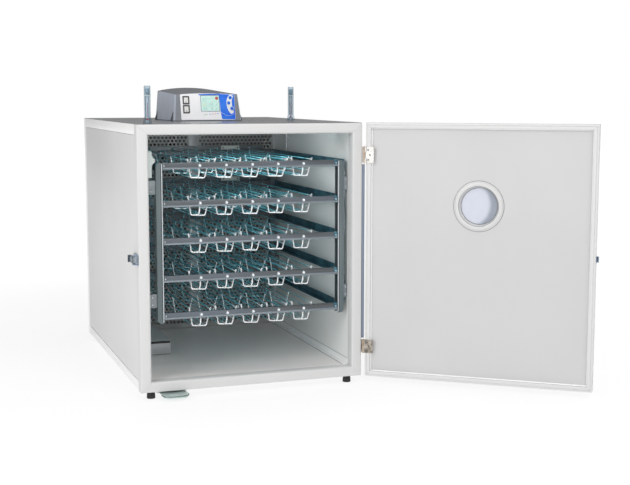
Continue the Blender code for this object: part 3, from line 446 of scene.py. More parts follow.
paint_pane_shade()
TUBE = clear_finish(
    "clear_tube", (0.10, 0.145, 0.18), passing=(0.87, 0.912, 0.94), opacity=0.02, rough=0.10,
    streak=0.06, rim=0.85, power=2.0,
)
TUBE_DARK = finish(
    "tube_cap", (0.36, 0.43, 0.48), rough=0.25, vary=0.15, scale=90.0, grain=0.1, coat=0.4,
)
SENSOR = finish(
    "sensor_tip", (0.22, 0.02, 0.02), rough=0.35, vary=0.2, scale=90.0, grain=0.1, coat=0.2,
)
# near-black painted shade for gaps: the tray's front, the rack posts' slots and the porthole's
# spacer ring
GAP_SHADE = finish("painted_gap_shade", (0.03, 0.03, 0.032), rough=0.7, vary=0.2, scale=60.0, grain=0.2)


def wire_with_painted_light(name, deep, bright_to, deep_from):
    """Zinc wire with painted light: nearly white up to y = bright_to, near the opening where the
    light falls, and blue-green from y = deep_from on.
    """
    mat = finish(
        name, deep, metal=0.22, vary=0.25, scale=35.0, grain=0.2, grain_scale=1800.0,
        rough_vary=0.10,
    )
    tree = mat.node_tree
    shader = tree.nodes["Principled BSDF"]
    deep_tone = shader.inputs["Base Color"].links[0].from_socket
    along = node(tree, "SeparateXYZ", {0: object_coords(tree)}, "Y")
    factor = spread(tree, along, bright_to, deep_from)
    feed(tree, shader, {"Base Color": mixed(tree, factor, (0.90, 0.92, 0.93), deep_tone)})
    return mat


# painted light: the wires and hoops are lighter towards the chamber's front; the hoops also take a
# lighter copy of the teal
WIRE = wire_with_painted_light("cradle_wire", (0.13, 0.48, 0.57), bright_to=-0.350, deep_from=-0.318)
HOOP = wire_with_painted_light("cradle_hoop", (0.34, 0.64, 0.70), bright_to=-0.16, deep_from=0.02)


# ---------------------------------------------------------------- parts and objects
class Part:
    """Points, faces and each face's slot number, gathered in an optional local frame.

    In all the drawing functions below, mat is the index into the materials given to piece().
    """

    def __init__(self, frame=None):
        self.points, self.faces, self.mats, self.frame = [], [], [], frame

    def add(self, points, faces, mat=0):
        base = len(self.points)
        if self.frame is not None:
            points = [self.frame @ Vector(p) for p in points]
        self.points.extend(tuple(p) for p in points)
        self.faces.extend(tuple(base + i for i in face) for face in faces)
        self.mats.extend([mat] * len(faces))


def mesh_from(name, part, mats, angle=36.0):
    """A smooth-shaded mesh, sharp where faces meet at more than angle degrees."""
    data = bpy.data.meshes.new(name)
    data.from_pydata(part.points, [], part.faces)
    for mat in mats:
        data.materials.append(mat)
    data.polygons.foreach_set("material_index", part.mats)
    work = bmesh.new()
    work.from_mesh(data)
    bmesh.ops.recalc_face_normals(work, faces=work.faces)
    work.to_mesh(data)
    work.free()
    data.shade_smooth()
    data.set_sharp_from_angle(angle=math.radians(angle))
    data.update()
    return data


def place(name, data, body="cabinet", replaces=None, matrix=None):
    obj = bpy.data.objects.new(name, data)
    bpy.context.scene.collection.objects.link(obj)
    if matrix:
        obj.matrix_world = matrix
    if replaces:
        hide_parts(replaces)
    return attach(obj, body)


def piece(name, part, mats, body="cabinet", replaces=None, angle=36.0):
    return place(name, mesh_from(name, part, mats, angle), body, replaces)


# ---------------------------------------------------------------- solid shapes
def bevel_edges(work, edges, radius, steps):
    bmesh.ops.bevel(
        work, geom=edges, offset=radius, segments=steps, profile=0.5, affect="EDGES",
        clamp_overlap=True,
    )


def take_mesh(work):
    """The points and faces of a bmesh, which is then freed."""
    work.verts.index_update()
    points = [v.co.copy() for v in work.verts]
    faces = [[v.index for v in f.verts] for f in work.faces]
    work.free()
    return points, faces


def box(part, corner, opposite, radius=0.0008, steps=2, mat=0):
    """A box between two opposite corners, with rounded edges."""
    lo = Vector([*map(min, corner, opposite)])
    hi = Vector([*map(max, corner, opposite)])
    size, middle = hi - lo, (lo + hi) / 2
    work = bmesh.new()
    bmesh.ops.create_cube(work, size=1.0)
    for v in work.verts:
        v.co = v.co * size + middle
    bevel_edges(work, work.edges[:], min(radius, min(size) * 0.42), steps)
    part.add(*take_mesh(work), mat)


def basis(axis):
    axis = Vector(axis).normalized()
    side = Vector((0, 0, 1)) if abs(axis.z) < 0.9 else Vector((1, 0, 0))
    across = side.cross(axis).normalized()
    return across, axis.cross(across), axis


def lathe(part, profile, origin=(0, 0, 0), axis=(0, 0, 1), sides=36, mat=0):
    """A turned shape: (radius, height) points along an axis; radius 0 makes a pole."""
    across, up_side, axis = basis(axis)
    origin = Vector(origin)
    points, rings = [], []
    for radius, height in profile:
        count = sides if radius else 1
        rings.append(list(range(len(points), len(points) + count)))
        if not radius:
            points.append(origin + axis * height)
            continue
        for i in range(sides):
            t = 2 * math.pi * i / sides
            out = (across * math.cos(t) + up_side * math.sin(t)) * radius
            points.append(origin + axis * height + out)
    faces = []
    for first, second in zip(rings, rings[1:]):
        for i in range(sides):
            j = (i + 1) % sides
            if len(first) == 1:
                faces.append((first[0], second[i], second[j]))
            elif len(second) == 1:
                faces.append((first[i], first[j], second[0]))
            else:
                faces.append((first[i], first[j], second[j], second[i]))
    part.add(points, faces, mat)


def rod(part, start, end, radius, chamfer=0.0004, sides=24, mat=0):
    """A cylinder with chamfered ends."""
    start, end = Vector(start), Vector(end)
    length = (end - start).length
    cut = min(chamfer, radius * 0.5, length * 0.3)
    profile = [
        (0, 0), (radius - cut, 0), (radius, cut), (radius, length - cut), (radius - cut, length),
        (0, length),
    ]
    lathe(part, profile, start, end - start, sides, mat)


def screw(part, at, axis, radius=0.0022, head=0.0009, mat=0):
    """A small pan head."""
    profile = [
        (radius, -0.0002), (radius, head * 0.35), (radius * 0.8, head * 0.85),
        (radius * 0.45, head), (0, head),
    ]
    lathe(part, profile, at, axis, 16, mat)


def rounded(points, radius):
    """A path with its inner corners rounded in five steps."""
    points = [Vector(p) for p in points]
    out = [points[0]]
    for before, corner, after in zip(points, points[1:], points[2:]):
        back, ahead = before - corner, after - corner
        back_length, ahead_length = back.length, ahead.length
        back, ahead = back / back_length, ahead / ahead_length
        angle = max(0.15, back.angle(ahead))
        cut = min(radius / math.tan(angle / 2), back_length * 0.45, ahead_length * 0.45)
        start, end = corner + back * cut, corner + ahead * cut
        for step in range(6):
            s = step / 5
            out.append(start * (1 - s) ** 2 + corner * 2 * s * (1 - s) + end * s * s)
    return out + [points[-1]]


def wire(part, path, radius, sides=10, mat=0, closed=False):
    """A round wire along a path, with domed ends unless it is closed."""
    path = [Vector(p) for p in path]
    count = len(path)
    tangents = []
    for i in range(count):
        before = path[i - 1] if (i > 0 or closed) else path[i]
        after = path[(i + 1) % count] if (i < count - 1 or closed) else path[i]
        tangents.append((after - before).normalized())
    across = basis(tangents[0])[0]
    points, rings = [], []
    for p, tangent in zip(path, tangents):
        across = (across - tangent * across.dot(tangent)).normalized()
        up_side = tangent.cross(across)
        rings.append(list(range(len(points), len(points) + sides)))
        for k in range(sides):
            t = 2 * math.pi * k / sides
            points.append(p + (across * math.cos(t) + up_side * math.sin(t)) * radius)
    faces = []
    spans = list(zip(rings, rings[1:])) + ([(rings[-1], rings[0])] if closed else [])
    for first, second in spans:
        for k in range(sides):
            j = (k + 1) % sides
            faces.append((first[k], first[j], second[j], second[k]))
    if not closed:
        for ring, p, out in ((rings[0], path[0], -tangents[0]), (rings[-1], path[-1], tangents[-1])):
            tip = len(points)
            points.append(p + out * (radius * 0.55))
            faces += [(ring[k], ring[(k + 1) % sides], tip) for k in range(sides)]
    part.add(points, faces, mat)


# ---------------------------------------------------------------- outlines and plates
def arc(cx, cy, radius, start, sweep, steps):
    """Points on an arc; start and sweep in degrees."""
    turns = [math.radians(start + sweep * i / steps) for i in range(steps + 1)]
    return [(cx + radius * math.cos(t), cy + radius * math.sin(t)) for t in turns]


def circle(cx, cy, radius, sides=24):
    turns = [2 * math.pi * i / sides for i in range(sides)]
    return [(cx + radius * math.cos(t), cy + radius * math.sin(t)) for t in turns]


def rect(x0, y0, x1, y1, radii=0.002, steps=4):
    """A rounded rectangle; radii is one number or one per corner, anticlockwise from x0, y0."""
    if not isinstance(radii, tuple):
        radii = (radii,) * 4
    out = []
    for (x, y, start), r in zip(((x0, y0, 180), (x1, y0, 270), (x1, y1, 0), (x0, y1, 90)), radii):
        out += arc(x + (r if x == x0 else -r), y + (r if y == y0 else -r), r, start, 90, steps)
    return out


def moved_in(outline, distance):
    """An outline with each side moved to its left."""
    out, count = [], len(outline)
    for i in range(count):
        a, b, c = Vector(outline[i - 1]), Vector(outline[i]), Vector(outline[(i + 1) % count])
        arriving, leaving = (b - a).normalized(), (c - b).normalized()
        normal, next_normal = Vector((-arriving.y, arriving.x)), Vector((-leaving.y, leaving.x))
        scale = 1.0 / max(0.35, (1 + normal.dot(next_normal)))
        out.append(b + (normal + next_normal) * distance * scale)
    return out


def oriented(outline, sign):
    """An outline that runs anticlockwise for sign 1 and clockwise for sign -1."""
    following = list(outline[1:]) + [outline[0]]
    doubled = sum(a[0] * b[1] - b[0] * a[1] for a, b in zip(outline, following))
    return outline if doubled * sign > 0 else outline[::-1]


def plate(part, outline, start, end, axis="y", holes=(), mat=0, bevel=0.0003):
    """A flat plate with holes and eased edges; its thickness runs start..end along axis."""
    start, end = sorted((start, end))
    put = {
        "y": lambda a, b, t: (a, t, b),
        "x": lambda a, b, t: (t, a, b),
        "z": lambda a, b, t: (a, b, t),
    }[axis]
    bevel = min(bevel, (end - start) * 0.4)
    loops = [oriented(outline, 1)] + [oriented(hole, -1) for hole in holes]
    points, faces, sides, firsts = [], [], [], []
    for t, inset in ((start, bevel), (start + bevel, 0.0), (end - bevel, 0.0), (end, bevel)):
        row = []
        for loop in loops:
            row.append(len(points))
            points.extend(put(p.x, p.y, t) for p in moved_in(loop, inset))
        firsts.append(row)
    for lower, upper in zip(firsts, firsts[1:]):
        for a, b, loop in zip(lower, upper, loops):
            for i in range(len(loop)):
                j = (i + 1) % len(loop)
                sides.append((a + i, a + j, b + j, b + i))
    flat = [[Vector((p.x, p.y, 0)) for p in moved_in(loop, bevel)] for loop in loops]
    for row in (firsts[0], firsts[3]):
        index = [first + i for first, loop in zip(row, loops) for i in range(len(loop))]
        faces += [tuple(index[i] for i in tri) for tri in tessellate_polygon(flat)]
    part.add(points, faces + sides, mat)


def card(part, x0, z0, x1, z1, y, mat=0, face=(0, 1, 2, 3)):
    """A single upright rectangle."""
    part.add([(x0, y, z0), (x1, y, z0), (x1, y, z1), (x0, y, z1)], [face], mat)


def weld(part):
    """Merges points that meet, so that strips shade as one surface."""
    seen, remap, points = {}, [], []
    for p in part.points:
        key = tuple(round(c * 2e5) for c in p)
        if key not in seen:
            seen[key] = len(points)
            points.append(p)
        remap.append(seen[key])
    faces, mats = [], []
    for face, mat in zip(part.faces, part.mats):
        face = tuple(remap[i] for i in face)
        face = tuple(x for i, x in enumerate(face) if x != face[i - 1])
        if len(set(face)) > 2:
            faces.append(face)
            mats.append(mat)
    part.points, part.faces, part.mats = points, faces, mats


def mitred(part, outer, inner, section, seam=0.00015):
    """Four mitred members between two rectangles (x0, z0, x1, z1), welded together.

    section: (share, y) round the profile, share 0 on the outer rectangle and 1 on the inner.
    """
    corners = [
        (Vector((outer[a], outer[b])), Vector((inner[a], inner[b])))
        for a, b in ((0, 1), (2, 1), (2, 3), (0, 3))
    ]
    for k in range(4):
        start, end = corners[k], corners[(k + 1) % 4]
        along = (end[0] - start[0]).normalized()
        caps = []
        for corner, shift in ((start, seam), (end, -seam)):
            spots = [(corner[0].lerp(corner[1], share) + along * shift, y) for share, y in section]
            caps.append([(p.x, y, p.y) for p, y in spots])
        near, far = caps
        for i in range(len(section)):
            j = (i + 1) % len(section)
            part.add([near[i], far[i], far[j], near[j]], [(0, 1, 2, 3)])
        for cap in caps:
            part.add(cap, [tuple(range(len(cap)))])
    weld(part)


def member_section(width, y_front, y_back, rounding=0.0022, chamfer=0.0030):
    """The (share, y) profile of a frame member whose face looks along -Y."""
    points = [(0.0, y_back), (0.0, y_front + rounding)]
    for i in range(1, 5):
        t = math.pi / 2 * i / 4
        share = (rounding - rounding * math.cos(t)) / width
        points.append((share, y_front + rounding - rounding * math.sin(t)))
    return points + [
        ((width - chamfer - 0.0004) / width, y_front),
        ((width - chamfer * 0.25) / width, y_front + chamfer * 0.55),
        (1.0, y_front + chamfer), (1.0, y_back),
    ]


# ---------------------------------------------------------------- cabinet
def front_frame():
    part = Part()
    mitred(
        part, (LEFT + 0.0002, 0.0, RIGHT - 0.0002, HEIGHT - 0.0007),
        (LEFT + 0.0273, SILL, IN_RIGHT, CEILING),
        member_section(0.0265, FRONT + 0.0002, FRONT + FRAME_DEPTH),
    )
    piece("front_profile_frame", part, [WHITE], replaces="front_frame", angle=30)


def side_walls():
    """A pale grey sheet outside and a lining inside."""
    for name, side in (("left", -1), ("right", 1)):
        outer = side * WIDTH / 2
        part = Part()
        box(part, (outer - side * 0.0006, WALL_Y0 + 0.0004, SILL + 0.0006),
            (outer - side * 0.0130, WALL_Y1 - 0.0002, CEILING - 0.0006))
        box(part, (outer - side * 0.0131, WALL_Y0, SILL + GAP),
            (outer - side * WALL, WALL_Y1, CEILING - GAP), 0.0004, 1, 1)
        piece(f"{name}_wall", part, [FIELD, LINING], replaces=f"{name}_side_panel")


def roof():
    """White rails at the sides, a lining below and a grey sheet over the whole top."""
    part = Part()
    for x0, x1 in ((LEFT, LEFT + 0.0262), (RIGHT - 0.0262, RIGHT)):
        box(part, (x0 + 0.0001, WALL_Y0, CEILING), (x1 - 0.0001, WALL_Y1, HEIGHT - 0.0007),
            0.0018, 3)
    box(part, (LEFT + 0.0262, WALL_Y0, CEILING), (RIGHT - 0.0262, WALL_Y1, HEIGHT - 0.0008),
        0.0004, 1, 1)
    sheet = rect(LEFT + 0.0012, FRONT + 0.0014, RIGHT - 0.0012, REAR - 0.0012, 0.0025)
    plate(part, sheet, HEIGHT - 0.0009, HEIGHT + 0.0001, "z", mat=2, bevel=0.0004)
    piece("roof", part, [SIDE_WHITE, LINING, ROOF], replaces="top_panel")


def floor_panel():
    """White outside, lining inside, with two guide rails for the slide underneath."""
    part = Part()
    box(part, (LEFT + 0.0001, WALL_Y0, 0.0), (RIGHT - 0.0001, WALL_Y1, SILL - 0.0012), 0.0018, 3)
    box(part, (IN_LEFT + 0.0004, WALL_Y0, SILL - 0.0013), (IN_RIGHT - 0.0004, WALL_Y1, SILL),
        GAP, 1, 1)
    rail = [  # distance out from the slide, z
        (0, 0.001), (0, -0.0095), (-0.0045, -0.0095), (-0.0045, -0.0115), (0.0030, -0.0115),
        (0.0030, 0.001),
    ]
    for side, slide_edge in ((-1, SLIDE_X0), (1, SLIDE_X1)):
        inner = slide_edge + side * 0.0008
        outline = [(inner + side * out, z) for out, z in rail]
        plate(part, outline, WALL_Y0 + 0.004, WALL_Y0 + 0.170)
        for y in (WALL_Y0 + 0.020, WALL_Y0 + 0.150):
            screw(part, (inner + side * 0.0015, y, -0.0115), (0, 0, -1), 0.0013, 0.0005, 2)
    piece("floor_panel", part, [SIDE_WHITE, FLOOR_GREY, STEEL],
          replaces="bottom_panel")


def floor_corner_trim():
    """An angle strip along the right wall's foot, with a dark seam at each edge."""
    y0, y1 = WALL_Y0 + 0.002, PART_Y - 0.002
    outline = [
        (IN_RIGHT, SILL), (IN_RIGHT - 0.0130, SILL), (IN_RIGHT - 0.0130, SILL + 0.0014),
        (IN_RIGHT - 0.0016, SILL + 0.0018), (IN_RIGHT - 0.0012, SILL + 0.0150),
        (IN_RIGHT, SILL + 0.0150),
    ]
    part = Part()
    plate(part, outline, y0, y1)
    box(part, (IN_RIGHT - 0.0142, y0, SILL), (IN_RIGHT - 0.0131, y1, SILL + 0.0007), 0.0002, 1, 1)
    box(part, (IN_RIGHT - 0.0007, y0, SILL + 0.0151), (IN_RIGHT, y1, SILL + 0.0160), 0.0002, 1, 1)
    piece("floor_corner_trim", part, [TRIM, SEAM])


def back_wall():
    """A recessed pale sheet inside white profiles, with the fan's bearing on its inner side and a
    dark film of painted shade over its inner face.
    """
    mirror = 2 * (REAR - WALL / 2)
    profile = member_section(0.026, BACK_IN, REAR - 0.0002, 0.0020, 0.0012)
    part = Part()
    mitred(part, (LEFT, 0.0, RIGHT, HEIGHT - 0.0007), (IN_LEFT, WALL, IN_RIGHT, CEILING),
           [(share, mirror - y) for share, y in profile])
    inset = 0.0255
    box(part, (LEFT + inset, BACK_IN + 0.0011, inset),
        (RIGHT - inset, REAR - 0.0014, HEIGHT - inset), 0.0005, 1, 1)
    # a dark film over the inner face: painted shade
    box(part, (LEFT + inset, BACK_IN, inset),
        (RIGHT - inset, BACK_IN + 0.0010, HEIGHT - inset), 0.0003, 1, 4)
    bearing = [
        (0.0125, -0.0005), (0.0125, -0.004), (0.0110, -0.0055), (0.0060, -0.0060),
        (0.0060, -0.0290), (0.0052, -0.0300), (0, -0.0300),
    ]
    lathe(part, bearing, (FAN_X, BACK_IN, FAN_Z), (0, 1, 0), 28, 2)
    sides = (LEFT + 0.013, RIGHT - 0.013)
    spots = [(x, z) for x in (sides[0], -0.10, 0.10, sides[1]) for z in (0.013, HEIGHT - 0.013)]
    for x, z in spots + [(x, z) for z in (0.20, 0.45) for x in sides]:
        screw(part, (x, REAR - 0.0002, z), (0, 1, 0), 0.0030, 0.0010, 3)
    piece("back_wall", part, [SIDE_WHITE, FIELD, ALU, STEEL, BACK_SHADE],
          replaces="back_panel")


def feet():
    """Turned rubber with a grip ring and a screw recess."""
    rubber = [
        (0, -0.0003), (0.0088, -0.0003), (0.0094, -0.0010), (0.0096, -0.0052), (0.0092, -0.0058),
        (0.0092, -0.0064), (0.0099, -0.0070), (0.0104, -0.0160), (0.0105, -0.0182),
        (0.0100, -0.0196), (0.0090, -0.0200), (0.0046, -0.0200), (0.0042, -0.0196),
        (0.0042, -0.0130), (0, -0.0130),
    ]
    head = [(0.0032, -0.0132), (0.0032, -0.0146), (0.0024, -0.0152), (0, -0.0152)]
    for end, y in (("front", FRONT + 0.027), ("rear", REAR - 0.027)):
        for side, x in (("left", LEFT + 0.030), ("right", RIGHT - 0.030)):
            part = Part()
            lathe(part, rubber, (x, y, 0), sides=40)
            lathe(part, head, (x, y, 0), sides=20, mat=1)
            name = f"foot_{end}_{side}"
            piece(name + "_rubber", part, [RUBBER, STEEL], replaces=name)


# ---------------------------------------------------------------- door
def door_rim():
    section = [  # share of the rim's width, y
        (0.0, DOOR_OUT + 0.0016), (0.0, DOOR_IN - 0.0016), (0.03, DOOR_IN - 0.0006),
        (0.11, DOOR_IN), (0.36, DOOR_IN), (0.37, DOOR_IN - 0.0007), (0.43, DOOR_IN - 0.0007),
        (0.44, DOOR_IN), (0.88, DOOR_IN), (0.96, DOOR_IN - 0.0005), (1.0, DOOR_IN - 0.0014),
        (1.0, LEAF_IN - 0.0002), (1.0, DOOR_OUT + 0.0014), (0.96, DOOR_OUT + 0.0005),
        (0.88, DOOR_OUT), (0.11, DOOR_OUT), (0.03, DOOR_OUT + 0.0006),
    ]
    part = Part(DOOR)
    mitred(part, (DOOR_X0, 0.0, DOOR_X1, HEIGHT), door_inset(0), section)
    piece("door_rim", part, [WHITE], "door", "door_frame", 30)


def door_inset(margin):
    """The rectangle inside the door rim, drawn in by margin."""
    x0, x1 = DOOR_X0 + DOOR_RIM + margin, DOOR_X1 - DOOR_RIM - margin
    return x0, DOOR_RIM + margin, x1, HEIGHT - DOOR_RIM - margin


def door_leaf():
    part = Part(DOOR)
    hole = circle(DOOR_CENTRE, WINDOW_Z, 0.0533, 64)
    plate(part, rect(*door_inset(GAP), 0.0008), LEAF_OUT, LEAF_IN, holes=[hole], bevel=0.0004)
    piece("door_leaf", part, [DOOR_FIELD], "door", "door_panel")


def door_sealing_bead():
    """A fine bead round the leaf, on its inner side."""
    section = [  # share of the bead's width, y
        (0.0, LEAF_IN - 0.0004), (0.0, LEAF_IN + 0.0020), (0.35, LEAF_IN + 0.0013),
        (0.75, LEAF_IN + 0.0005), (1.0, LEAF_IN - 0.0004),
    ]
    part = Part(DOOR)
    mitred(part, door_inset(0), door_inset(0.0022), section, seam=0.0)
    piece("door_sealing_bead", part, [TRIM], "door", angle=50)


def porthole():
    """A turned bezel on both sides, a pane in its tapered bore and a spacer ring in a dark tone of
    painted shade.
    """
    lip = [  # radius, distance out from the leaf's middle
        (0.0505, 0.0108), (0.0512, 0.0114), (0.0524, 0.0117), (0.0560, 0.0116), (0.0580, 0.0112),
        (0.0590, 0.0107), (0.0592, 0.0098), (0.0597, 0.0097), (0.0599, 0.0104), (0.0612, 0.0101),
        (0.0622, 0.0090), (0.0625, 0.0074), (0.0624, 0.0071), (0.0530, 0.0071), (0.0528, 0.0060),
    ]
    bore = [
        (0.0488, -0.0108), (0.0466, -0.0040), (0.0456, -0.0012), (0.0458, -0.0008),
        (0.0492, 0.0080),
    ]
    outer_seam = [(0.0622, 0.0070), (0.0622, 0.0077), (0.0634, 0.0075), (0.0634, 0.0068)]
    inner_seam = [(0.0494, 0.0092), (0.0500, 0.0104), (0.0504, 0.0104), (0.0500, 0.0092)]
    pane = [
        (0, -0.0036), (0.0463, -0.0036), (0.0465, -0.0033), (0.0465, -0.0015),
        (0.0463, -0.0012), (0, -0.0012),
    ]
    spacer = [
        (0.0450, -0.0010), (0.0459, -0.0010), (0.0461, -0.0004), (0.0452, -0.0004),
        (0.0450, -0.0010),
    ]
    part = Part(DOOR)
    mirrored = [(radius, -out) for radius, out in reversed(lip)]
    lathe(part, lip + mirrored + bore + [lip[0]], WINDOW_AT, (0, 1, 0), 96)
    for face in (-1, 1):
        for seam in (outer_seam, inner_seam):
            profile = [(radius, face * out) for radius, out in seam]
            lathe(part, profile, WINDOW_AT, (0, 1, 0), 96, 1)
    piece("porthole_bezel", part, [WHITE, SEAM], "door", "window_ring", 30)
    for name, profile, mat, slot, replaces in (
        ("porthole_pane", pane, PANE, "pane", "window_glass"),
        ("porthole_spacer", spacer, GAP_SHADE, "white_plastic", None),
    ):
        part = Part(DOOR)
        lathe(part, profile, WINDOW_AT, (0, 1, 0), 72)
        piece(name, part, [mat], "door", replaces, 30)


def latch_strike():
    """A hooked plate on the door's free edge."""
    y0, y1 = DOOR_IN - 0.019, DOOR_IN - 0.006
    low, high = LATCH_Z - 0.0072, LATCH_Z + 0.0072
    part = Part(DOOR)
    box(part, (DOOR_X0 - 0.0012, y0, LATCH_Z - 0.0080), (DOOR_X0 + 0.0004, y1, LATCH_Z + 0.0080),
        0.0004)
    box(part, (DOOR_X0 - 0.0060, y0 + 0.0015, low), (DOOR_X0 - 0.0010, y0 + 0.0040, high), 0.0006)
    box(part, (DOOR_X0 - 0.0060, y0 + 0.0015, low), (DOOR_X0 - 0.0046, y1 - 0.0020, high), 0.0006)
    for z in (LATCH_Z - 0.0050, LATCH_Z + 0.0050):
        screw(part, (DOOR_X0 - 0.0012, y1 - 0.0030, z), (-1, 0, 0), 0.0014, 0.0006, 1)
    piece("latch_strike", part, [STRIKE, STEEL], "door")


# ---------------------------------------------------------------- hinges
KNUCKLE_R, LEAF_W, LEAF_T = 0.0032, 0.0210, 0.0016


def hinge(name, low, high, plating):
    """A cabinet leaf with the middle knuckle and the pin, and a door leaf with the other two."""
    tall, middle = high - low, (low + high) / 2
    half_knuckle = 0.0120 * tall / 0.0412 * 0.6
    heights = (low + tall * 0.2, middle, high - tall * 0.2)
    mats = [plating, BRONZE, STEEL]

    part = Part()
    x0, x1 = RIGHT + GAP, RIGHT + GAP + LEAF_T
    spots = [(FRONT + y, z) for y, z in zip((0.0085, 0.0155, 0.0085), heights)]
    holes = [circle(y, z, 0.0019, 16) for y, z in spots]
    outline = rect(FRONT + 0.0010, low, FRONT + 0.0010 + LEAF_W, high, 0.0022)
    plate(part, outline, x0, x1, "x", holes)
    for y, z in spots:
        screw(part, (RIGHT + 0.0014, y, z), (1, 0, 0), mat=2)
    box(part, (x0, HINGE_Y + 0.0005, middle - half_knuckle),
        (x1, FRONT + 0.0030, middle + half_knuckle), 0.0003, 1)
    for z0, z1, radius, chamfer, sides in (
        (middle - half_knuckle, middle + half_knuckle, KNUCKLE_R, 0.0003, 28),
        (low - 0.0012, low - 0.0002, 0.0020, 0.0004, 20),
        (high + 0.0002, high + 0.0012, 0.0020, 0.0004, 20),
        (low - 0.0010, high + 0.0010, 0.0013, 0.0002, 16),
    ):
        rod(part, (HINGE_X, HINGE_Y, z0), (HINGE_X, HINGE_Y, z1), radius, chamfer, sides, 1)
    piece(f"{name}_hinge_fixed_leaf", part, mats,
          replaces=f"{name}_hinge_cabinet_leaf")

    part = Part(DOOR)
    y0, y1 = DOOR_IN + GAP, DOOR_IN + GAP + LEAF_T
    spots = [(DOOR_X1 - x, z) for x, z in zip((0.0065, 0.0112, 0.0065), heights)]
    holes = [circle(x, z, 0.0019, 16) for x, z in spots]
    radii = (0.0022, 0.0004, 0.0004, 0.0022)
    plate(part, rect(DOOR_X1 - LEAF_W, low, DOOR_X1 - 0.0006, high, radii), y0, y1, holes=holes)
    for x, z in spots:
        screw(part, (x, DOOR_IN + 0.0014, z), (0, 1, 0), mat=2)
    for z0, z1 in ((low, middle - half_knuckle - 0.0004), (middle + half_knuckle + 0.0004, high)):
        rod(part, (0, 0, z0), (0, 0, z1), KNUCKLE_R, 0.0003, 28, 1)
        box(part, (DOOR_X1 - 0.0030, y0, z0), (-0.0012, y1, z1), 0.0003, 1)
    piece(f"{name}_hinge_swing_leaf", part, mats, "door",
          f"{name}_hinge_door_leaf")


def hinges():
    hinge("upper", 0.5483, 0.5895, NICKEL)
    hinge("lower", 0.0605, 0.0950, WORN)


def hinge_side_strip():
    """An angle strip down the hinge side, between the two hinges."""
    part = Part()
    start = (RIGHT + 0.0003, FRONT + 0.0010, 0.0985)
    box(part, start, (RIGHT + 0.0074, FRONT + 0.0021, 0.5450), 0.0004)
    box(part, start, (RIGHT + 0.0012, FRONT + 0.0090, 0.5450), 0.0003)
    piece("hinge_side_strip", part, [STRIP])


# ---------------------------------------------------------------- latch on the left side
def latch_base():
    """A screwed plate with two ears that hold the lever's pin."""
    part = Part()
    spots = [(y, LATCH_Z + s * 0.0088) for y in (-0.3560, -0.3745) for s in (-1, 1)]
    plate(part, rect(-0.4005, LATCH_Z - 0.0130, -0.3500, LATCH_Z + 0.0130, 0.0024),
          LEFT - 0.0019, LEFT - 0.0003, "x", [circle(y, z, 0.0017, 14) for y, z in spots],
          bevel=0.0004)
    for y, z in spots:
        screw(part, (LEFT - 0.0012, y, z), (-1, 0, 0), 0.0020, 0.0011, 1)
    ear = [(LEFT - 0.0008, LATCH_Y - 0.0062), (LEFT - 0.0008, LATCH_Y + 0.0062)]
    ear += arc(LATCH_X, LATCH_Y, 0.0042, 90, 180, 8)
    for end in (-1, 1):
        plate(part, ear, LATCH_Z + end * 0.0099, LATCH_Z + end * 0.0119, "z")
    piece("latch_base", part, [STRIKE, STEEL])


def latch_handle():
    """A channel-shaped lever with a hooked end and three grip ribs."""
    half = 0.0088
    part = Part(Matrix.Translation((LATCH_X, LATCH_Y, LATCH_Z)))
    box(part, (-0.0030, -0.0030, -half), (-0.0016, 0.0362, half), 0.0005)
    flank = [
        (-0.0030, -0.0028), (0.0022, -0.0028), (0.0030, 0.0), (0.0030, 0.0100),
        (0.0016, 0.0280), (-0.0012, 0.0362), (-0.0030, 0.0362),
    ]
    for end in (-1, 1):
        plate(part, flank, end * 0.0074, end * half, "z")
    hook = rounded(
        [(-0.0022, 0.0330, 0), (-0.0024, 0.0358, 0), (-0.0060, 0.0366, 0), (-0.0080, 0.0352, 0)],
        0.002,
    )
    points = [(p.x, p.y, z) for p in hook for z in (-half, half)]
    rungs = range(len(hook) - 1)
    part.add(points, [(2 * i, 2 * i + 1, 2 * i + 3, 2 * i + 2) for i in rungs])
    for i in range(3):
        box(part, (-0.0034, 0.0150 + i * 0.0040, -0.0060), (-0.0028, 0.0166 + i * 0.0040, 0.0060),
            0.0002, 1, 1)
    rod(part, (0, 0, -0.0120), (0, 0, 0.0120), 0.0016, 0.0004, 20, 1)
    handle = piece("latch_handle", part, [LATCH_DARK, BRIGHT], "latch",
                   "latch_lever")
    thick = handle.modifiers.new("sheet", "SOLIDIFY")
    thick.thickness = 0.0002
    thick.offset = 0.0


def drip_tab():
    """The slide under the floor, with a rim round its projecting end in a darker copy of the tab's
    colour, painted shade, and a roll below it.
    """
    def outline(y_end):
        radii = (0.0190, 0.0190, 0.0010, 0.0010)
        return rect(SLIDE_X0, FRONT - 0.0300, SLIDE_X1, y_end, radii, 8)

    part = Part()
    plate(part, outline(FRONT + 0.1300), -0.0084, -0.0062, "z", bevel=0.0006)
    rim = [(p.x, p.y, -0.0074) for p in moved_in(outline(FRONT - 0.0030), 0.0006)]
    wire(part, rim, 0.0015, 8, 1, closed=True)
    roll = [
        (-0.2340, FRONT - 0.0150, -0.0100), (-0.2260, FRONT - 0.0275, -0.0104),
        (-0.1820, FRONT - 0.0275, -0.0104), (-0.1740, FRONT - 0.0150, -0.0100),
    ]
    wire(part, rounded(roll, 0.006), 0.0022)
    piece("drip_tab", part, [TAB, TAB_RIM_SHADE], "drip_slide", "drip_slide")


# ---------------------------------------------------------------- tray rack
RACK_SIDES = ((RACK_LEFT, -1), (RACK_RIGHT, 1))
BAR_Y = RACK_FRONT - 0.0005  # front face of the front bars


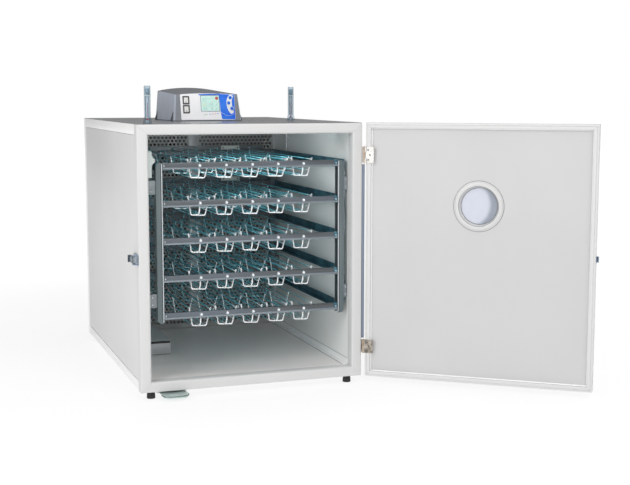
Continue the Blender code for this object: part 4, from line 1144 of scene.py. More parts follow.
def rack_posts(part):
    """Four upright channels; the front two have a rolled edge in a light tone of painted highlight
    and a dark strip of painted shade where the slot is.
    """
    for outer, side in RACK_SIDES:
        inner = outer - side * 0.016
        radii = (0.0095, 0.0012, 0.0012, 0.0095) if side < 0 else (0.0012, 0.0095, 0.0095, 0.0012)
        face = rect(min(outer, inner), RACK_Z0, max(outer, inner), RACK_Z1, radii, 6)
        for y0, y1 in ((RACK_FRONT, RACK_FRONT + 0.025), (RACK_REAR - 0.025, RACK_REAR)):
            plate(part, face, y0, y0 + 0.0015, bevel=0.0004)
            plate(part, face, y1 - 0.0015, y1, bevel=0.0004)
            box(part, (outer, y0 + 0.0004, RACK_Z0 + 0.009),
                (outer - side * 0.0015, y1 - 0.0004, RACK_Z1 - 0.009), 0.0005)
            if y0 != RACK_FRONT:
                continue
            low, high = RACK_Z0 + 0.003, RACK_Z1 - 0.003
            # the inner edge is a painted highlight; the thin strip beside it is painted shade
            box(part, (inner, y0 - 0.0005, low), (inner + side * 0.0026, y0 + 0.0042, high),
                0.0005, 2, 6)
            box(part, (inner + side * 0.0027, y0 - 0.0002, low),
                (inner + side * 0.0044, y0 + 0.0012, high), 0.0003, 1, 7)


def rack_level(part, z):
    """Front and rear bars, side rails, corner blocks and the collars of the pivot holes."""
    y = BAR_Y
    foot, top = z - 0.0078, z + 0.0078
    box(part, (RACK_LEFT + 0.0155, y, foot + 0.0010), (RACK_RIGHT - 0.0155, y + 0.0025, top),
        0.0006, 2, 2)
    box(part, (RACK_LEFT + 0.0160, y + 0.0010, z + 0.0064),
        (RACK_RIGHT - 0.0160, y + 0.0105, top), 0.0005, 2, 2)
    # the lip takes the lighter zinc, a painted highlight
    lip = [
        (y + 0.0020, foot), (y - 0.0035, foot), (y - 0.0035, z - 0.0070),
        (y - 0.0009, z - 0.0030), (y + 0.0020, z - 0.0026),
    ]
    plate(part, lip, RACK_LEFT + 0.0165, RACK_RIGHT - 0.0165, "x", mat=3)
    box(part, (RACK_LEFT + 0.0010, 0.2095, foot), (RACK_RIGHT - 0.0010, 0.2120, top),
        0.0005, 1, 2)
    for outer, side in RACK_SIDES:
        box(part, (outer - side * 0.0004, RACK_FRONT + 0.0010, z - 0.0095),
            (outer - side * 0.0029, RACK_REAR - 0.0010, z + 0.0095), 0.0005, 1, 4)
        box(part, (outer - side * 0.0024, RACK_FRONT + 0.026, z - 0.0095),
            (outer - side * 0.0120, RACK_REAR - 0.026, z - 0.0081), 0.0004, 1, 4)
        reach, mat = (0.0225, 0) if side < 0 else (0.0270, 4)
        x0, x1 = outer - side * 0.0176, outer - side * reach
        box(part, (x0, y - 0.0012, z - 0.0088), (x1, y + 0.0100, z + 0.0090), 0.0010, 2, mat)
        screw(part, ((x0 + x1) / 2, y - 0.0012, z + 0.0004), (0, -1, 0), 0.0020, mat=1)
    front_collar = [
        (0.0042, 0.0002), (0.0041, -0.0007), (0.0034, -0.0011), (0.0024, -0.0010),
        (0.0022, -0.0002),
    ]
    rear_collar = [(0.0040, 0.0), (0.0038, 0.0008), (0.0024, 0.0009), (0.0022, 0.0)]
    for x in COLUMNS:
        lathe(part, front_collar, (x, y, z), (0, 1, 0), 20, 1)
        lathe(part, rear_collar, (x, 0.2120, z), (0, 1, 0), 16, 1)


def rack_brackets(part):
    """Blocks between the posts and the side walls, and the plate that holds the shaft."""
    for z in (0.219, 0.496):
        for y in (RACK_FRONT + 0.0030, RACK_REAR - 0.0220):
            for x0, x1 in (
                (RACK_RIGHT - 0.0006, IN_RIGHT - GAP), (IN_LEFT + GAP, RACK_LEFT + 0.0006),
            ):
                box(part, (x0, y, z - 0.017), (x1, y + 0.019, z + 0.017), 0.0016, 3, 8)
                for offset in (0.009, -0.009):
                    screw(part, ((x0 + x1) / 2, y - 0.0001, z + offset), (0, -1, 0), mat=1)
    plate(part, rect(IN_LEFT + GAP, 0.5420, RACK_LEFT + 0.0014, 0.5900, 0.0030), 0.1880, 0.1910,
          holes=[circle(SHAFT_X, SHAFT_Z, 0.0045, 20)], bevel=0.0004)
    bush = [(0.0046, -0.0012), (0.0078, -0.0012), (0.0082, -0.0006), (0.0082, 0.0004)]
    lathe(part, bush, (SHAFT_X, 0.1880, SHAFT_Z), (0, 1, 0), 24, 1)


def tray_rack():
    part = Part()
    rack_posts(part)
    for z in LEVELS:
        rack_level(part, z)
    rack_brackets(part)
    mats = [GALV, BRIGHT, BAR, BAR_LIP_HIGHLIGHT, TEAL, MOTOR, POST_HIGHLIGHT, GAP_SHADE, BRACKET]
    piece("rack_of_channels", part, mats, replaces="tray_rack")


# ---------------------------------------------------------------- egg cradles
CRADLE_WIRE_R = 0.00125
CRADLE_TOP_W, CRADLE_LOW_W = 0.0265, 0.0175  # half widths
CRADLE_TOP, CRADLE_LOW = 0.0110, -0.0310
CRADLE_Y0, CRADLE_Y1 = -0.3550, 0.1990


def cradle_mesh():
    """One wire basket about its pivot axis, with a front pivot pin and a rear crank."""
    part = Part()
    thin, hoop_x = CRADLE_WIRE_R * 0.92, CRADLE_TOP_W + 0.0006
    for y in (CRADLE_Y0 + 0.0012, CRADLE_Y0 + 0.1860, CRADLE_Y0 + 0.3700, CRADLE_Y1 - 0.0012):
        is_front = y < CRADLE_Y0 + 0.01
        top = CRADLE_TOP + (0.0060 * 0.35 if is_front else 0.0)
        hoop = [
            (-hoop_x, y, top), (-CRADLE_LOW_W, y, CRADLE_LOW), (CRADLE_LOW_W, y, CRADLE_LOW),
            (hoop_x, y, top),
        ]
        wire(part, rounded(hoop, 0.0055), CRADLE_WIRE_R * (1.2 if is_front else 1), mat=2)
    slope = CRADLE_TOP_W - CRADLE_LOW_W
    for side in (-1, 1):
        for z in (CRADLE_TOP, -0.0030, -0.0170, CRADLE_LOW):
            wall = CRADLE_LOW_W + slope * (z - CRADLE_LOW) / (CRADLE_TOP - CRADLE_LOW)
            x = side * (wall - CRADLE_WIRE_R)
            wire(part, [(x, CRADLE_Y0 - 0.0002, z), (x, CRADLE_Y1, z)], thin, 8)
    z = CRADLE_LOW + CRADLE_WIRE_R
    wire(part, [(0, CRADLE_Y0, z), (0, CRADLE_Y1, z)], thin, 8)
    pivot = [
        (0, CRADLE_Y0 + 0.0010, CRADLE_LOW), (0, CRADLE_Y0 - 0.0042, CRADLE_LOW + 0.0004),
        (0, -0.3672, -0.0190), (0, -0.3672, 0.0), (0, -0.3762, 0.0),
    ]
    wire(part, rounded(pivot, 0.0026), 0.0017, mat=2)
    pivot_cap = [
        (0.0, -0.0020), (0.0016, -0.0018), (0.0026, -0.0010), (0.0028, 0.0), (0.0024, 0.0008),
        (0, 0.0008),
    ]
    lathe(part, pivot_cap, (0, -0.3748, 0.0), (0, 1, 0), 18, 1)
    hoop_cap = [
        (0.0, -0.0021), (0.0012, -0.0019), (0.0020, -0.0008), (0.0021, 0.0002),
        (0.0012, 0.0016), (0, 0.0018),
    ]
    for side in (-1, 1):
        at = (side * hoop_x, CRADLE_Y0 + 0.0008, CRADLE_TOP + 0.0024)
        lathe(part, hoop_cap, at, (0, 1, 0), 14, 1)
    crank = [
        (0, CRADLE_Y1 - 0.0002, CRADLE_LOW), (0, 0.2165, CRADLE_LOW), (0, 0.2165, CRANK_R),
        (0, 0.2262, CRANK_R),
    ]
    wire(part, rounded(crank, 0.0026), 0.0014)
    wire(part, [(0, 0.2165, 0), (0, CRADLE_Y1 + 0.0030, 0)], 0.0014)
    return mesh_from("egg_cradle_wires", part, [WIRE, EDGE, HOOP])


def cradles():
    basket = cradle_mesh()
    for i, z in enumerate(LEVELS, 1):
        for j, x in enumerate(COLUMNS, 1):
            spot = f"L{i}_C{j}"
            matrix = Matrix.Translation((x, 0, z)) @ Matrix.Rotation(TILT, 4, "Y")
            place(f"wire_cradle_{spot}", basket, f"cradle_{spot}",
                  f"egg_cradle_{spot}", matrix)


# ---------------------------------------------------------------- tilting gear
def pin_slot(x, z):
    """A slot for a crank pin at x, z."""
    return rect(x - 0.0022, z - 0.0072, x + 0.0022, z + 0.0022, 0.0021)


def tilt_link():
    """One slotted bar per level, an arm to the shaft's crank and two uprights."""
    part = Part(Matrix.Translation((LINK_SHIFT, 0, 0)))
    y0, y1 = LINK_Y, LINK_Y + LINK_T
    left, right = RACK_LEFT + 0.0147, RACK_RIGHT - 0.0147
    for i, level in enumerate(LEVELS):
        z = level + CRANK_R
        inset = 0.016 if i == 4 else 0.0
        outline = rect(left + inset, z - 0.0100, right - inset, z + 0.0070, 0.0015)
        plate(part, outline, y0, y1, holes=[pin_slot(x, z) for x in COLUMNS])
    arm_z, pin_z = LEVELS[4] + CRANK_R + 0.0070, SHAFT_Z + CRANK_R
    arm = [
        (left + 0.020, RACK_Z1 + 0.0025), (left + 0.020, arm_z), (SHAFT_X + 0.0047, arm_z),
        (SHAFT_X + 0.0047, pin_z + 0.0060), (SHAFT_X - 0.0047, pin_z + 0.0060),
        (SHAFT_X - 0.0047, RACK_Z1 + 0.0025),
    ]
    plate(part, arm, y0, y1, holes=[pin_slot(SHAFT_X, pin_z)])
    rivet = [(0.0030, 0.0), (0.0028, -0.0010), (0.0016, -0.0014), (0, -0.0014)]
    for x in (COLUMNS[0] - COLUMN_PITCH / 2, COLUMNS[-1] + COLUMN_PITCH / 2):
        low, high = LEVELS[0] + CRANK_R - 0.008, LEVELS[-1] + CRANK_R + 0.005
        plate(part, rect(x - 0.006, low, x + 0.006, high, 0.0015), y0 + 0.0002, y1 - 0.0002)
        for z in LEVELS:
            lathe(part, rivet, (x, LINK_Y, z + CRANK_R), (0, 1, 0), 16, 1)
    piece("tilt_link", part, [LINK_GREY, BRIGHT], "tilt_link", "tilt_link_frame")


def link_pads():
    """Screwed blocks on the front of the two upper link bars."""
    for tag, level in (("upper", LEVELS[4]), ("lower", LEVELS[3])):
        part = Part(Matrix.Translation((LINK_SHIFT, 0, 0)))
        z = level + CRANK_R + 0.0010
        box(part, (0.0840, LINK_Y - 0.0052, z - 0.0062), (0.1400, LINK_Y - 0.0001, z + 0.0062),
            0.0010, 3)
        for x in (0.0900, 0.1340):
            screw(part, (x, LINK_Y - 0.0052, z), (0, -1, 0), 0.0022, 0.0008, 1)
        piece(f"link_pad_{tag}", part, [MOTOR, STEEL], "tilt_link")


def drive_shaft():
    """A shaft with a clamped coupling at the front and a crank at the rear."""
    part = Part(Matrix.Translation((SHAFT_X, 0, SHAFT_Z)) @ Matrix.Rotation(TILT, 4, "Y"))
    rod(part, (0, RACK_FRONT + 0.0570, 0), (0, 0.2176, 0), 0.0040, 0.0005, 28)
    rod(part, (0, RACK_FRONT + 0.0750, 0), (0, RACK_FRONT + 0.0990, 0), 0.0068, 0.0008, 28, 1)
    for y in (RACK_FRONT + 0.0810, RACK_FRONT + 0.0930):
        rod(part, (0, y, 0.0050), (0, y, 0.0074), 0.0015, 0.0003, 12, 2)
    crank = arc(0, 0, 0.0052, 180, 180, 8) + arc(0, CRANK_R, 0.0032, 0, 180, 8)
    plate(part, crank, 0.2140, 0.2172, mat=1, bevel=0.0004)
    rod(part, (0, 0.2150, CRANK_R), (0, 0.2262, CRANK_R), 0.0014, 0.0003, 16, 1)
    piece("tilt_drive_shaft", part, [GALV, BRIGHT, STEEL], "drive_shaft",
          "drive_shaft")


def gearmotor():
    """Two housings on the left wall with a seam between them, and a boss behind."""
    x0, y0 = IN_LEFT + GAP, RACK_FRONT + 0.0015
    shape = [
        (x0, 0.5200), (-0.2465, 0.5200), (-0.2450, 0.5215), (-0.2450, 0.5430),
        (-0.2440, 0.5500), (-0.2412, 0.5545), (-0.2372, 0.5575), (-0.2372, 0.5655),
        (-0.2415, 0.5690), (-0.2440, 0.5735), (-0.2450, 0.5820), (-0.2470, 0.5840),
        (x0, 0.5840),
    ]
    part = Part()
    plate(part, shape, y0, y0 + 0.0330, bevel=0.0014)
    plate(part, rect(x0, 0.5215, -0.2378, 0.5830, 0.0030), y0 + 0.0336, y0 + 0.0560, bevel=0.0014)
    plate(part, rect(x0, 0.5225, -0.2388, 0.5820, 0.0030), y0 + 0.0326, y0 + 0.0340, mat=1,
          bevel=0.0)
    boss = [(0.0110, 0.0), (0.0110, 0.0085), (0.0098, 0.0100), (0.0050, 0.0104), (0.0046, 0.0104)]
    lathe(part, boss, (SHAFT_X - 0.0035, y0 + 0.0555, SHAFT_Z - 0.004), (0, 1, 0), 28, 2)
    for z in (0.5265, 0.5775):
        screw(part, (-0.2560, y0, z), (0, -1, 0), 0.0019, 0.0008, 2)
    piece("tilt_gearmotor", part, [MOTOR, MOTOR_RIB, STEEL],
          replaces="gearmotor")


# ---------------------------------------------------------------- partition, heater and fan
SHEET_X0, SHEET_X1, SHEET_Z0, SHEET_Z1 = IN_LEFT + GAP, IN_RIGHT - GAP, SILL + GAP, CEILING - GAP
HOLE_PITCH, HOLE_ROW, HOLE_R = 0.0116, 0.0100, 0.0040
SHEET_SPANS = ((SHEET_X0 + 0.010, -0.0075), (0.0205, SHEET_X1 - 0.010))


def cell_turns():
    """Sixteen directions round a cell, which include those of its corners."""
    corner = math.atan2(HOLE_ROW, HOLE_PITCH)
    quarter = math.pi / 2
    turns = []
    for base, span in (
        (0.0, corner), (corner, quarter - corner), (quarter, quarter - corner),
        (math.pi - corner, corner),
    ):
        turns += [base, base + span / 2]
    return turns + [t + math.pi for t in turns]


def on_cell(t):
    """The point on a cell's rectangular edge in direction t."""
    c, s = math.cos(t), math.sin(t)
    reach = min((HOLE_PITCH / 2) / max(abs(c), 1e-9), (HOLE_ROW / 2) / max(abs(s), 1e-9))
    return c * reach, s * reach


def partition():
    """A sheet of cells, each with a round hole, in two spans with plain margins."""
    part = Part()
    turns = cell_turns()
    count = len(turns)
    cell_edge = [on_cell(t) for t in turns]
    cell_hole = [(HOLE_R * math.cos(t), HOLE_R * math.sin(t)) for t in turns]
    rings = ((cell_edge, PART_Y), (cell_hole, PART_Y), (cell_hole, PART_Y + 0.0013))
    cell_faces = []
    for i in range(count):
        j = (i + 1) % count
        cell_faces.append((i, count + i, count + j, j))
        cell_faces.append((count + i, 2 * count + i, 2 * count + j, count + j))

    def blank(x0, z0, x1, z1):
        card(part, x0, z0, x1, z1, PART_Y, face=(3, 2, 1, 0))

    rows = int((SHEET_Z1 - SHEET_Z0 - 0.024) / HOLE_ROW)
    low = (SHEET_Z0 + SHEET_Z1) / 2 - rows * HOLE_ROW / 2
    for row in range(rows):
        z = low + (row + 0.5) * HOLE_ROW
        stagger = (row % 2) * HOLE_PITCH / 2
        for x0, x1 in SHEET_SPANS:
            columns = int((x1 - x0 - HOLE_PITCH / 2) / HOLE_PITCH)
            start = (x0 + x1) / 2 - (columns * HOLE_PITCH + HOLE_PITCH / 2) / 2 + stagger
            for column in range(columns):
                x = start + (column + 0.5) * HOLE_PITCH
                part.add([(x + a, y, z + b) for ring, y in rings for a, b in ring], cell_faces)
            blank(x0, z - HOLE_ROW / 2, start, z + HOLE_ROW / 2)
            blank(start + columns * HOLE_PITCH, z - HOLE_ROW / 2, x1, z + HOLE_ROW / 2)
    top = low + rows * HOLE_ROW
    blank(SHEET_X0, SHEET_Z0, SHEET_X1, low)
    blank(SHEET_X0, top, SHEET_X1, SHEET_Z1)
    blank(SHEET_X0, low, SHEET_SPANS[0][0], top)
    blank(SHEET_SPANS[1][1], low, SHEET_X1, top)
    sheet = bpy.data.meshes.new("perforated_partition")
    sheet.from_pydata(part.points, [], part.faces)
    for mat in (SHEET, TRIM):
        sheet.materials.append(mat)
    sheet.update()
    place("perforated_partition", sheet, replaces="fan_partition")


def partition_strips():
    """A screwed strip over the joint of the two spans, and one down each side."""
    part = Part()
    x0, x1 = SHEET_SPANS[0][1], SHEET_SPANS[1][0]
    box(part, (x0, PART_Y - 0.0012, SHEET_Z0), (x1, PART_Y + 0.0010, SHEET_Z1), 0.0005)
    for z in (0.06, 0.18, 0.30, 0.42, 0.54, 0.605):
        screw(part, ((x0 + x1) / 2, PART_Y - 0.0012, z), (0, -1, 0), 0.0024, mat=1)
    for x0, x1 in ((SHEET_X0, SHEET_X0 + 0.0090), (SHEET_X1 - 0.0090, SHEET_X1)):
        box(part, (x0, PART_Y - 0.0010, SHEET_Z0), (x1, PART_Y + 0.0012, SHEET_Z1), 0.0004, 1)
    piece("partition_joint_strips", part, [ALU, STEEL])


def heating_ring():
    """A round element on three posts behind the partition."""
    radius, y = 0.084, 0.2640
    part = Part()
    path = [(x, y, z) for x, z in circle(FAN_X, FAN_Z, radius, 64)]
    wire(part, path, 0.0040, 12, closed=True)
    base = [(0.0060, 0.0), (0.0058, 0.0012), (0.0030, 0.0014)]
    clip = [(0.0046, -0.0050), (0.0052, -0.0050), (0.0054, 0.0050), (0.0046, 0.0050)]
    for turn in (90, 210, 330):
        x = FAN_X + radius * math.cos(math.radians(turn))
        z = FAN_Z + radius * math.sin(math.radians(turn))
        rod(part, (x, PART_Y + 0.0010, z), (x, y, z), 0.0028, 0.0004, 14, 1)
        lathe(part, base, (x, PART_Y + 0.0010, z), (0, 1, 0), 16, 1)
        lathe(part, clip, (x, y, z), (0, 1, 0), 16, 1)
    piece("heating_ring", part, [ELEMENT, ALU])


def fan_blade(part, start_angle):
    """A cambered blade: two skins of rows out from the hub, closed round their edge."""
    rows, columns = 10, 7
    points, faces = [], []
    for skin in (-1, 1):
        for i in range(rows):
            out = i / (rows - 1)
            radius = 0.0200 + (0.0616 - 0.0200) * i / (rows - 1)
            pitch = math.radians(58 - 16 * i / (rows - 1))
            chord = 0.0170 * (0.85 + 0.35 * out) * {8: 0.94, 9: 0.74}.get(i, 1.0)
            for c in range(columns):
                s = (c / (columns - 1) - 0.5) * 2
                along = s * chord
                camber = 0.0026 * (1 - s * s)
                y = 0.3085 + along * math.cos(pitch) * 0.9 + camber * math.sin(pitch)
                y += skin * 0.0007 * (1 - 0.8 * abs(s))
                turn = (along * math.sin(pitch) - camber * math.cos(pitch)) / radius
                angle = start_angle + turn
                points.append((radius * math.cos(angle), y, -radius * math.sin(angle)))
    block = rows * columns
    for i in range(rows - 1):
        for c in range(columns - 1):
            p = i * columns + c
            q = p + columns
            faces.append((p, p + 1, q + 1, q))
            faces.append((block + p, block + q, block + q + 1, block + p + 1))
    edge = [i * columns for i in range(rows)]
    edge += [(rows - 1) * columns + c for c in range(1, columns)]
    edge += [i * columns + columns - 1 for i in range(rows - 2, -1, -1)]
    edge += range(columns - 2, 0, -1)
    for a, b in zip(edge, edge[1:] + edge[:1]):
        faces.append((a, b, block + b, block + a))
    part.add(points, faces)


def fan_impeller():
    part = Part(Matrix.Translation((FAN_X, 0, FAN_Z)))
    hub = [
        (0, 0.2900), (0.0150, 0.2902), (0.0205, 0.2916), (0.0232, 0.2945), (0.0240, 0.2985),
        (0.0240, 0.3290), (0.0234, 0.3300), (0.0072, 0.3300), (0.0065, 0.3294),
        (0.0065, 0.3060), (0, 0.3060),
    ]
    lathe(part, hub, axis=(0, 1, 0), sides=48)
    for k in range(5):
        fan_blade(part, 2 * math.pi * k / 5)
    piece("fan_impeller", part, [FAN], "fan", "fan_rotor", 50)


# ---------------------------------------------------------------- water tray and probe
TRAY_X0, TRAY_X1, TRAY_Y0, TRAY_Y1, TRAY_TOP = -0.2585, -0.1450, -0.1025, 0.1875, 0.0640


def water_tray():
    """An open tray with a rolled rim, dark strips of painted shade at its front and a slotted cover
    plate.
    """
    x0, x1, y0, y1, top = TRAY_X0, TRAY_X1, TRAY_Y0, TRAY_Y1, TRAY_TOP
    base, thick = SILL + GAP, 0.0016
    part = Part()
    for lo, hi in (
        ((x0, y0, base + 0.0016), (x1, y0 + thick, top - 0.0078)),
        ((x0, y1 - thick, base), (x1, y1, top)),
        ((x0, y0, base), (x0 + thick, y1, top)),
        ((x1 - thick, y0, base), (x1, y1, top)),
        ((x0, y0 + 0.0020, base), (x1, y1, base + thick)),
    ):
        box(part, lo, hi, 0.0006)
    rim = rect(x0 + 0.0012, y0 + 0.0075, x1 - 0.0012, y1 - 0.0012, 0.004, 5)
    wire(part, [(x, y, top - 0.0012) for x, y in rim], 0.0011, 8, closed=True)
    # dark strips at the front: painted shade in the gap below the cover and a painted contact shadow
    # at the foot
    box(part, (x0 + 0.0016, y0 + 0.0020, top - 0.0100), (x1 - 0.0016, y0 + 0.0034, top - 0.0012),
        0.0003, 1, 1)
    box(part, (x0 + 0.0016, y0 + 0.0008, base), (x1 - 0.0016, y0 + 0.0030, base + 0.0020),
        0.0003, 1, 1)
    piece("evaporation_tray", part, [ALU, GAP_SHADE], "water_tray", "water_tray")
    part = Part()
    slots = [
        rect(x, y1 - 0.078, x + 0.004, y1 - 0.064, 0.0019)
        for x in (-0.235, -0.218, -0.201, -0.184, -0.167)
    ]
    cover = rect(x0 + 0.0010, y0 + 0.0012, x1 - 0.0010, y1 - 0.0550, 0.003)
    # the slots lie partly behind the cover's rear edge
    plate(part, cover, top - 0.0011, top - 0.0001, "z", slots)
    piece("tray_cover_plate", part, [COVER], "water_tray")


def hanging_probe():
    """A probe that hangs from the ceiling by the right wall, with its clip."""
    y = 0.118
    cable = [(0.2560, y, CEILING), (0.2560, y, 0.560), (0.2500, y, 0.540), (0.2500, y, 0.512)]
    tip = [
        (0, 0.494), (0.0034, 0.4945), (0.0044, 0.4975), (0.0044, 0.5090), (0.0036, 0.5120),
        (0.0022, 0.5140),
    ]
    part = Part()
    wire(part, rounded(cable, 0.010), 0.0022, 12)
    lathe(part, tip, (0.2500, y, 0), sides=24, mat=1)
    box(part, (0.2570, 0.1120, 0.588), (0.2607, 0.1240, 0.596), mat=2)
    piece("hanging_probe", part, [TRIM, SENSOR, BRIGHT])


# ---------------------------------------------------------------- control unit on the roof
def arch_at(x, rear=False):
    """Height of the unit's arched top at x, along its front or rear edge."""
    share = max(-1.0, min(1.0, (x - UNIT_MID) / UNIT_HALF))
    if rear:
        return UNIT_H + RISE + ARCH_REAR * (1 - share * share)
    return UNIT_H + ARCH_FRONT * (1 - share * share)


def unit_shell():
    """A tapered block whose arched top climbs towards the rear, with its edges rounded."""
    work = bmesh.new()
    bmesh.ops.create_cube(work, size=1.0)
    for direction, slices in ((Vector((1, 0, 0)), 28), (Vector((0, 1, 0)), 5)):
        for i in range(1, slices):
            everything = work.verts[:] + work.edges[:] + work.faces[:]
            bmesh.ops.bisect_plane(
                work, geom=everything, plane_co=direction * (-0.5 + i / slices),
                plane_no=direction,
            )
    for v in work.verts:
        share, deep = v.co.x * 2, v.co.y + 0.5
        x, z = UNIT_MID + share * UNIT_HALF, 0.0
        if v.co.z > 0:
            z = arch_at(x) * (1 - deep) + arch_at(x, True) * deep
            x = UNIT_MID + (x - UNIT_MID) * 0.93
        y = UNIT_Y0 + math.tan(LEAN) * z
        v.co = Vector((x, y + (UNIT_Y1 - y) * deep, z))

    def sharp(edge):
        return edge.calc_face_angle(0.0) > math.radians(35)

    upright = [
        e for e in work.edges if sharp(e) and abs(e.verts[0].co.z - e.verts[1].co.z) > 0.02
    ]
    bevel_edges(work, upright, 0.0075, 6)
    crown = [e for e in work.edges if sharp(e) and min(v.co.z for v in e.verts) > 0.03]
    bevel_edges(work, crown, 0.0026, 4)
    return take_mesh(work)


def control_case():
    """The shell, sorted into sides, top and front, with lugs and a dark seam at its foot; the top
    and the front take darker copies of the grey as painted shade.
    """
    points, faces = unit_shell()
    sides, tops, fronts = [], [], []
    for face in faces:
        a, b, c = (points[i] for i in face[:3])
        normal = (b - a).cross(c - a)
        normal = normal.normalized() if normal.length > 0 else Vector((0, 0, 1))
        if abs(normal.z) > 0.62 and sum(points[i].z for i in face) / len(face) > 0.03:
            tops.append(face)
        else:
            (fronts if normal.y < -0.80 else sides).append(face)
    part = Part(UNIT)
    for mat, group in enumerate((sides, tops, fronts)):
        part.add(points, group, mat)
    weld(part)
    for side, x in ((-1, UNIT_X0), (1, UNIT_X1)):
        gusset = [
            (x - side * 0.0030, 0.0), (x + side * 0.0052, 0.0), (x + side * 0.0047, 0.0060),
            (x - side * 0.0020, 0.0245),
        ]
        for y in (UNIT_Y0 + 0.0180, UNIT_Y1 - 0.0200):
            plate(part, gusset, y - 0.0018, y + 0.0018, mat=3, bevel=0.0005)
    box(part, (UNIT_X0 - 0.0004, UNIT_Y0 - 0.0004, 0.0),
        (UNIT_X1 + 0.0004, UNIT_Y1 + 0.0004, 0.0022), mat=1)
    piece("control_unit_case", part, [ABS_SIDE, ABS_SHADE_AND_SEAM, ABS_FRONT_SHADE, LUG],
          replaces="control_housing", angle=32)


def up(z):
    """Distance up the leaning face for a height z."""
    return z / math.cos(LEAN)


def front_plate():
    """A printed plate with a straight foot and a top edge that follows the arch."""
    x0, x1, foot, r = -0.1140, 0.0335, up(0.0030), 0.0016
    xs = [x0 + (x1 - x0) * i / 14 for i in range(15)]
    tops = [(x, up(arch_at(x) - 0.0018)) for x in xs]
    outline = [(x0 + r, foot), (x1 - r, foot), (x1, foot + r), (x1, tops[-1][1] - r)]
    outline += [(min(max(x, x0 + r), x1 - r), z) for x, z in reversed(tops)]
    outline += [(x0, tops[0][1] - r), (x0, foot + r)]
    part = Part(FACE)
    plate(part, outline, -0.0008, 0.0002)
    piece("control_front_plate", part, [PLATE])


def control_print():
    """Blue fields, a pale crescent round the keys, a pale line and a row of small dashes."""
    part = Part(FACE)

    def printed(outline, mat=0):
        plate(part, outline, -0.0011, -0.0006, mat=mat, bevel=0.0001)

    field = []
    for i in range(15):
        t = i / 14
        # from the head of the field down its left side, then round to the lower right
        x = -0.0085 + 0.0014 * math.sin(t * 2.2) + 0.0100 * max(0.0, t - 0.62) ** 1.2
        field.append((x, up(0.0690 - 0.0625 * t ** 0.9)))
    field += [(-0.0030, up(0.0045)), (0.0328, up(0.0040)), (0.0328, up(arch_at(0.0328) - 0.0028))]
    field += [(x, up(arch_at(x) - 0.0026)) for x in (0.0250, 0.0150, 0.0050, -0.0060)]
    printed(field)
    band = [
        (-0.0650, 0.0676), (-0.0065, 0.0682), (-0.0065, 0.0716), (-0.0400, 0.0712),
        (-0.0640, 0.0700),
    ]
    printed([(x, up(z)) for x, z in band])
    crescent = [
        (0.0300 + 0.0195 * c, up(0.0475) + (0.0245 if s > 0 else 0.0330) * s)
        for c, s in arc(0, 0, 1, 112, 136, 18)
    ] + [
        (0.0352 + 0.0100 * c, up(0.0475) + (0.0212 if s > 0 else 0.0300) * s)
        for c, s in arc(0, 0, 1, 238, -116, 12)
    ]
    plate(part, crescent, -0.0012, -0.0008, mat=1, bevel=0.0001)
    sweep = []
    for i in range(21):
        t = i / 20
        z = up(0.0230 - 0.0150 * math.sin(t * math.pi * 0.62) + 0.0120 * t * t)
        sweep.append((-0.0060 + 0.0390 * t, -0.00135, z))
    wire(part, sweep, 0.00035, 6, 1)
    dashes = ((2, -0.0530), (2, -0.0478), (3, -0.0380), (4, -0.0300), (4, -0.0235), (3, -0.0165))
    corners = ((0.0, 0.0150), (0.0042, 0.0162), (0.0040, 0.0174), (-0.0002, 0.0162))
    for k, (mat, x) in enumerate(dashes):
        printed([(x + across, up(z + 0.0006 * k)) for across, z in corners], mat)
    mats = [PRINT_BLUE, PRINT_PALE, INK_GREEN, PRINT_BLUE, INK_RED]
    piece("control_print", part, mats)


LCD_Y = -0.00112  # the segments, just in front of the display field
SEGMENTS = {
    "0": "abcdef", "1": "bc", "2": "abged", "3": "abgcd", "5": "afgcd", "7": "abc",
    "8": "abcdefg", "6": "afgedc",
}


def numeral(part, x, z, size, digit, mat):
    """A seven-segment numeral, 2 * size high."""
    thick, top, middle = size * 0.19, z + 2 * size, z + size
    bars = {
        "a": (x, top, x + size, top + thick),
        "g": (x, middle, x + size, middle + thick),
        "d": (x, z, x + size, z + thick),
        "f": (x - thick, middle + thick, x, top),
        "b": (x + size, middle + thick, x + size + thick, top),
        "e": (x - thick, z + thick, x, middle),
        "c": (x + size, z + thick, x + size + thick, middle),
    }
    for key in SEGMENTS[digit]:
        card(part, *bars[key], LCD_Y, mat)


def lcd_display():
    left, right, low, high = -0.0585, -0.0095, up(0.0262), up(0.0662)
    field = rect(left, low, right, high, 0.0006)
    part = Part(FACE)
    plate(part, rect(left - 0.0012, low - 0.0012, right + 0.0012, high + 0.0012, 0.0012),
          -0.0014, -0.0006, holes=[field], mat=1)
    plate(part, field, -0.0010, -0.0006, bevel=0.0001)
    for text, x, z, size, mat in (  # x from the field's left edge
        ("377", 0.0040, 0.0520, 0.0036, 2), ("377", 0.0240, 0.0560, 0.0020, 2),
        ("50", 0.0040, 0.0400, 0.0030, 4), ("550", 0.0220, 0.0410, 0.0022, 2),
        ("12", 0.0380, 0.0410, 0.0022, 2), ("006", 0.0040, 0.0295, 0.0026, 2),
        ("18", 0.0240, 0.0300, 0.0024, 2), ("03", 0.0380, 0.0300, 0.0022, 2),
    ):
        for k, digit in enumerate(text):
            numeral(part, left + x + k * size * 1.7, up(z), size, digit, mat)
    for z in (0.0382, 0.0494):
        card(part, left + 0.002, up(z), right - 0.002, up(z) + 0.0003, LCD_Y, 2)
    mark = [(0, -0.00125), (0.0042, -0.00120), (0.0046, -0.0010)]
    lathe(part, mark, (right - 0.0062, 0, up(0.0595)), (0, 1, 0), 24, 3)
    piece("lcd_display", part, [MINT, LCD_FRAME, LCD_INK, LCD_RED, LCD_AMBER])


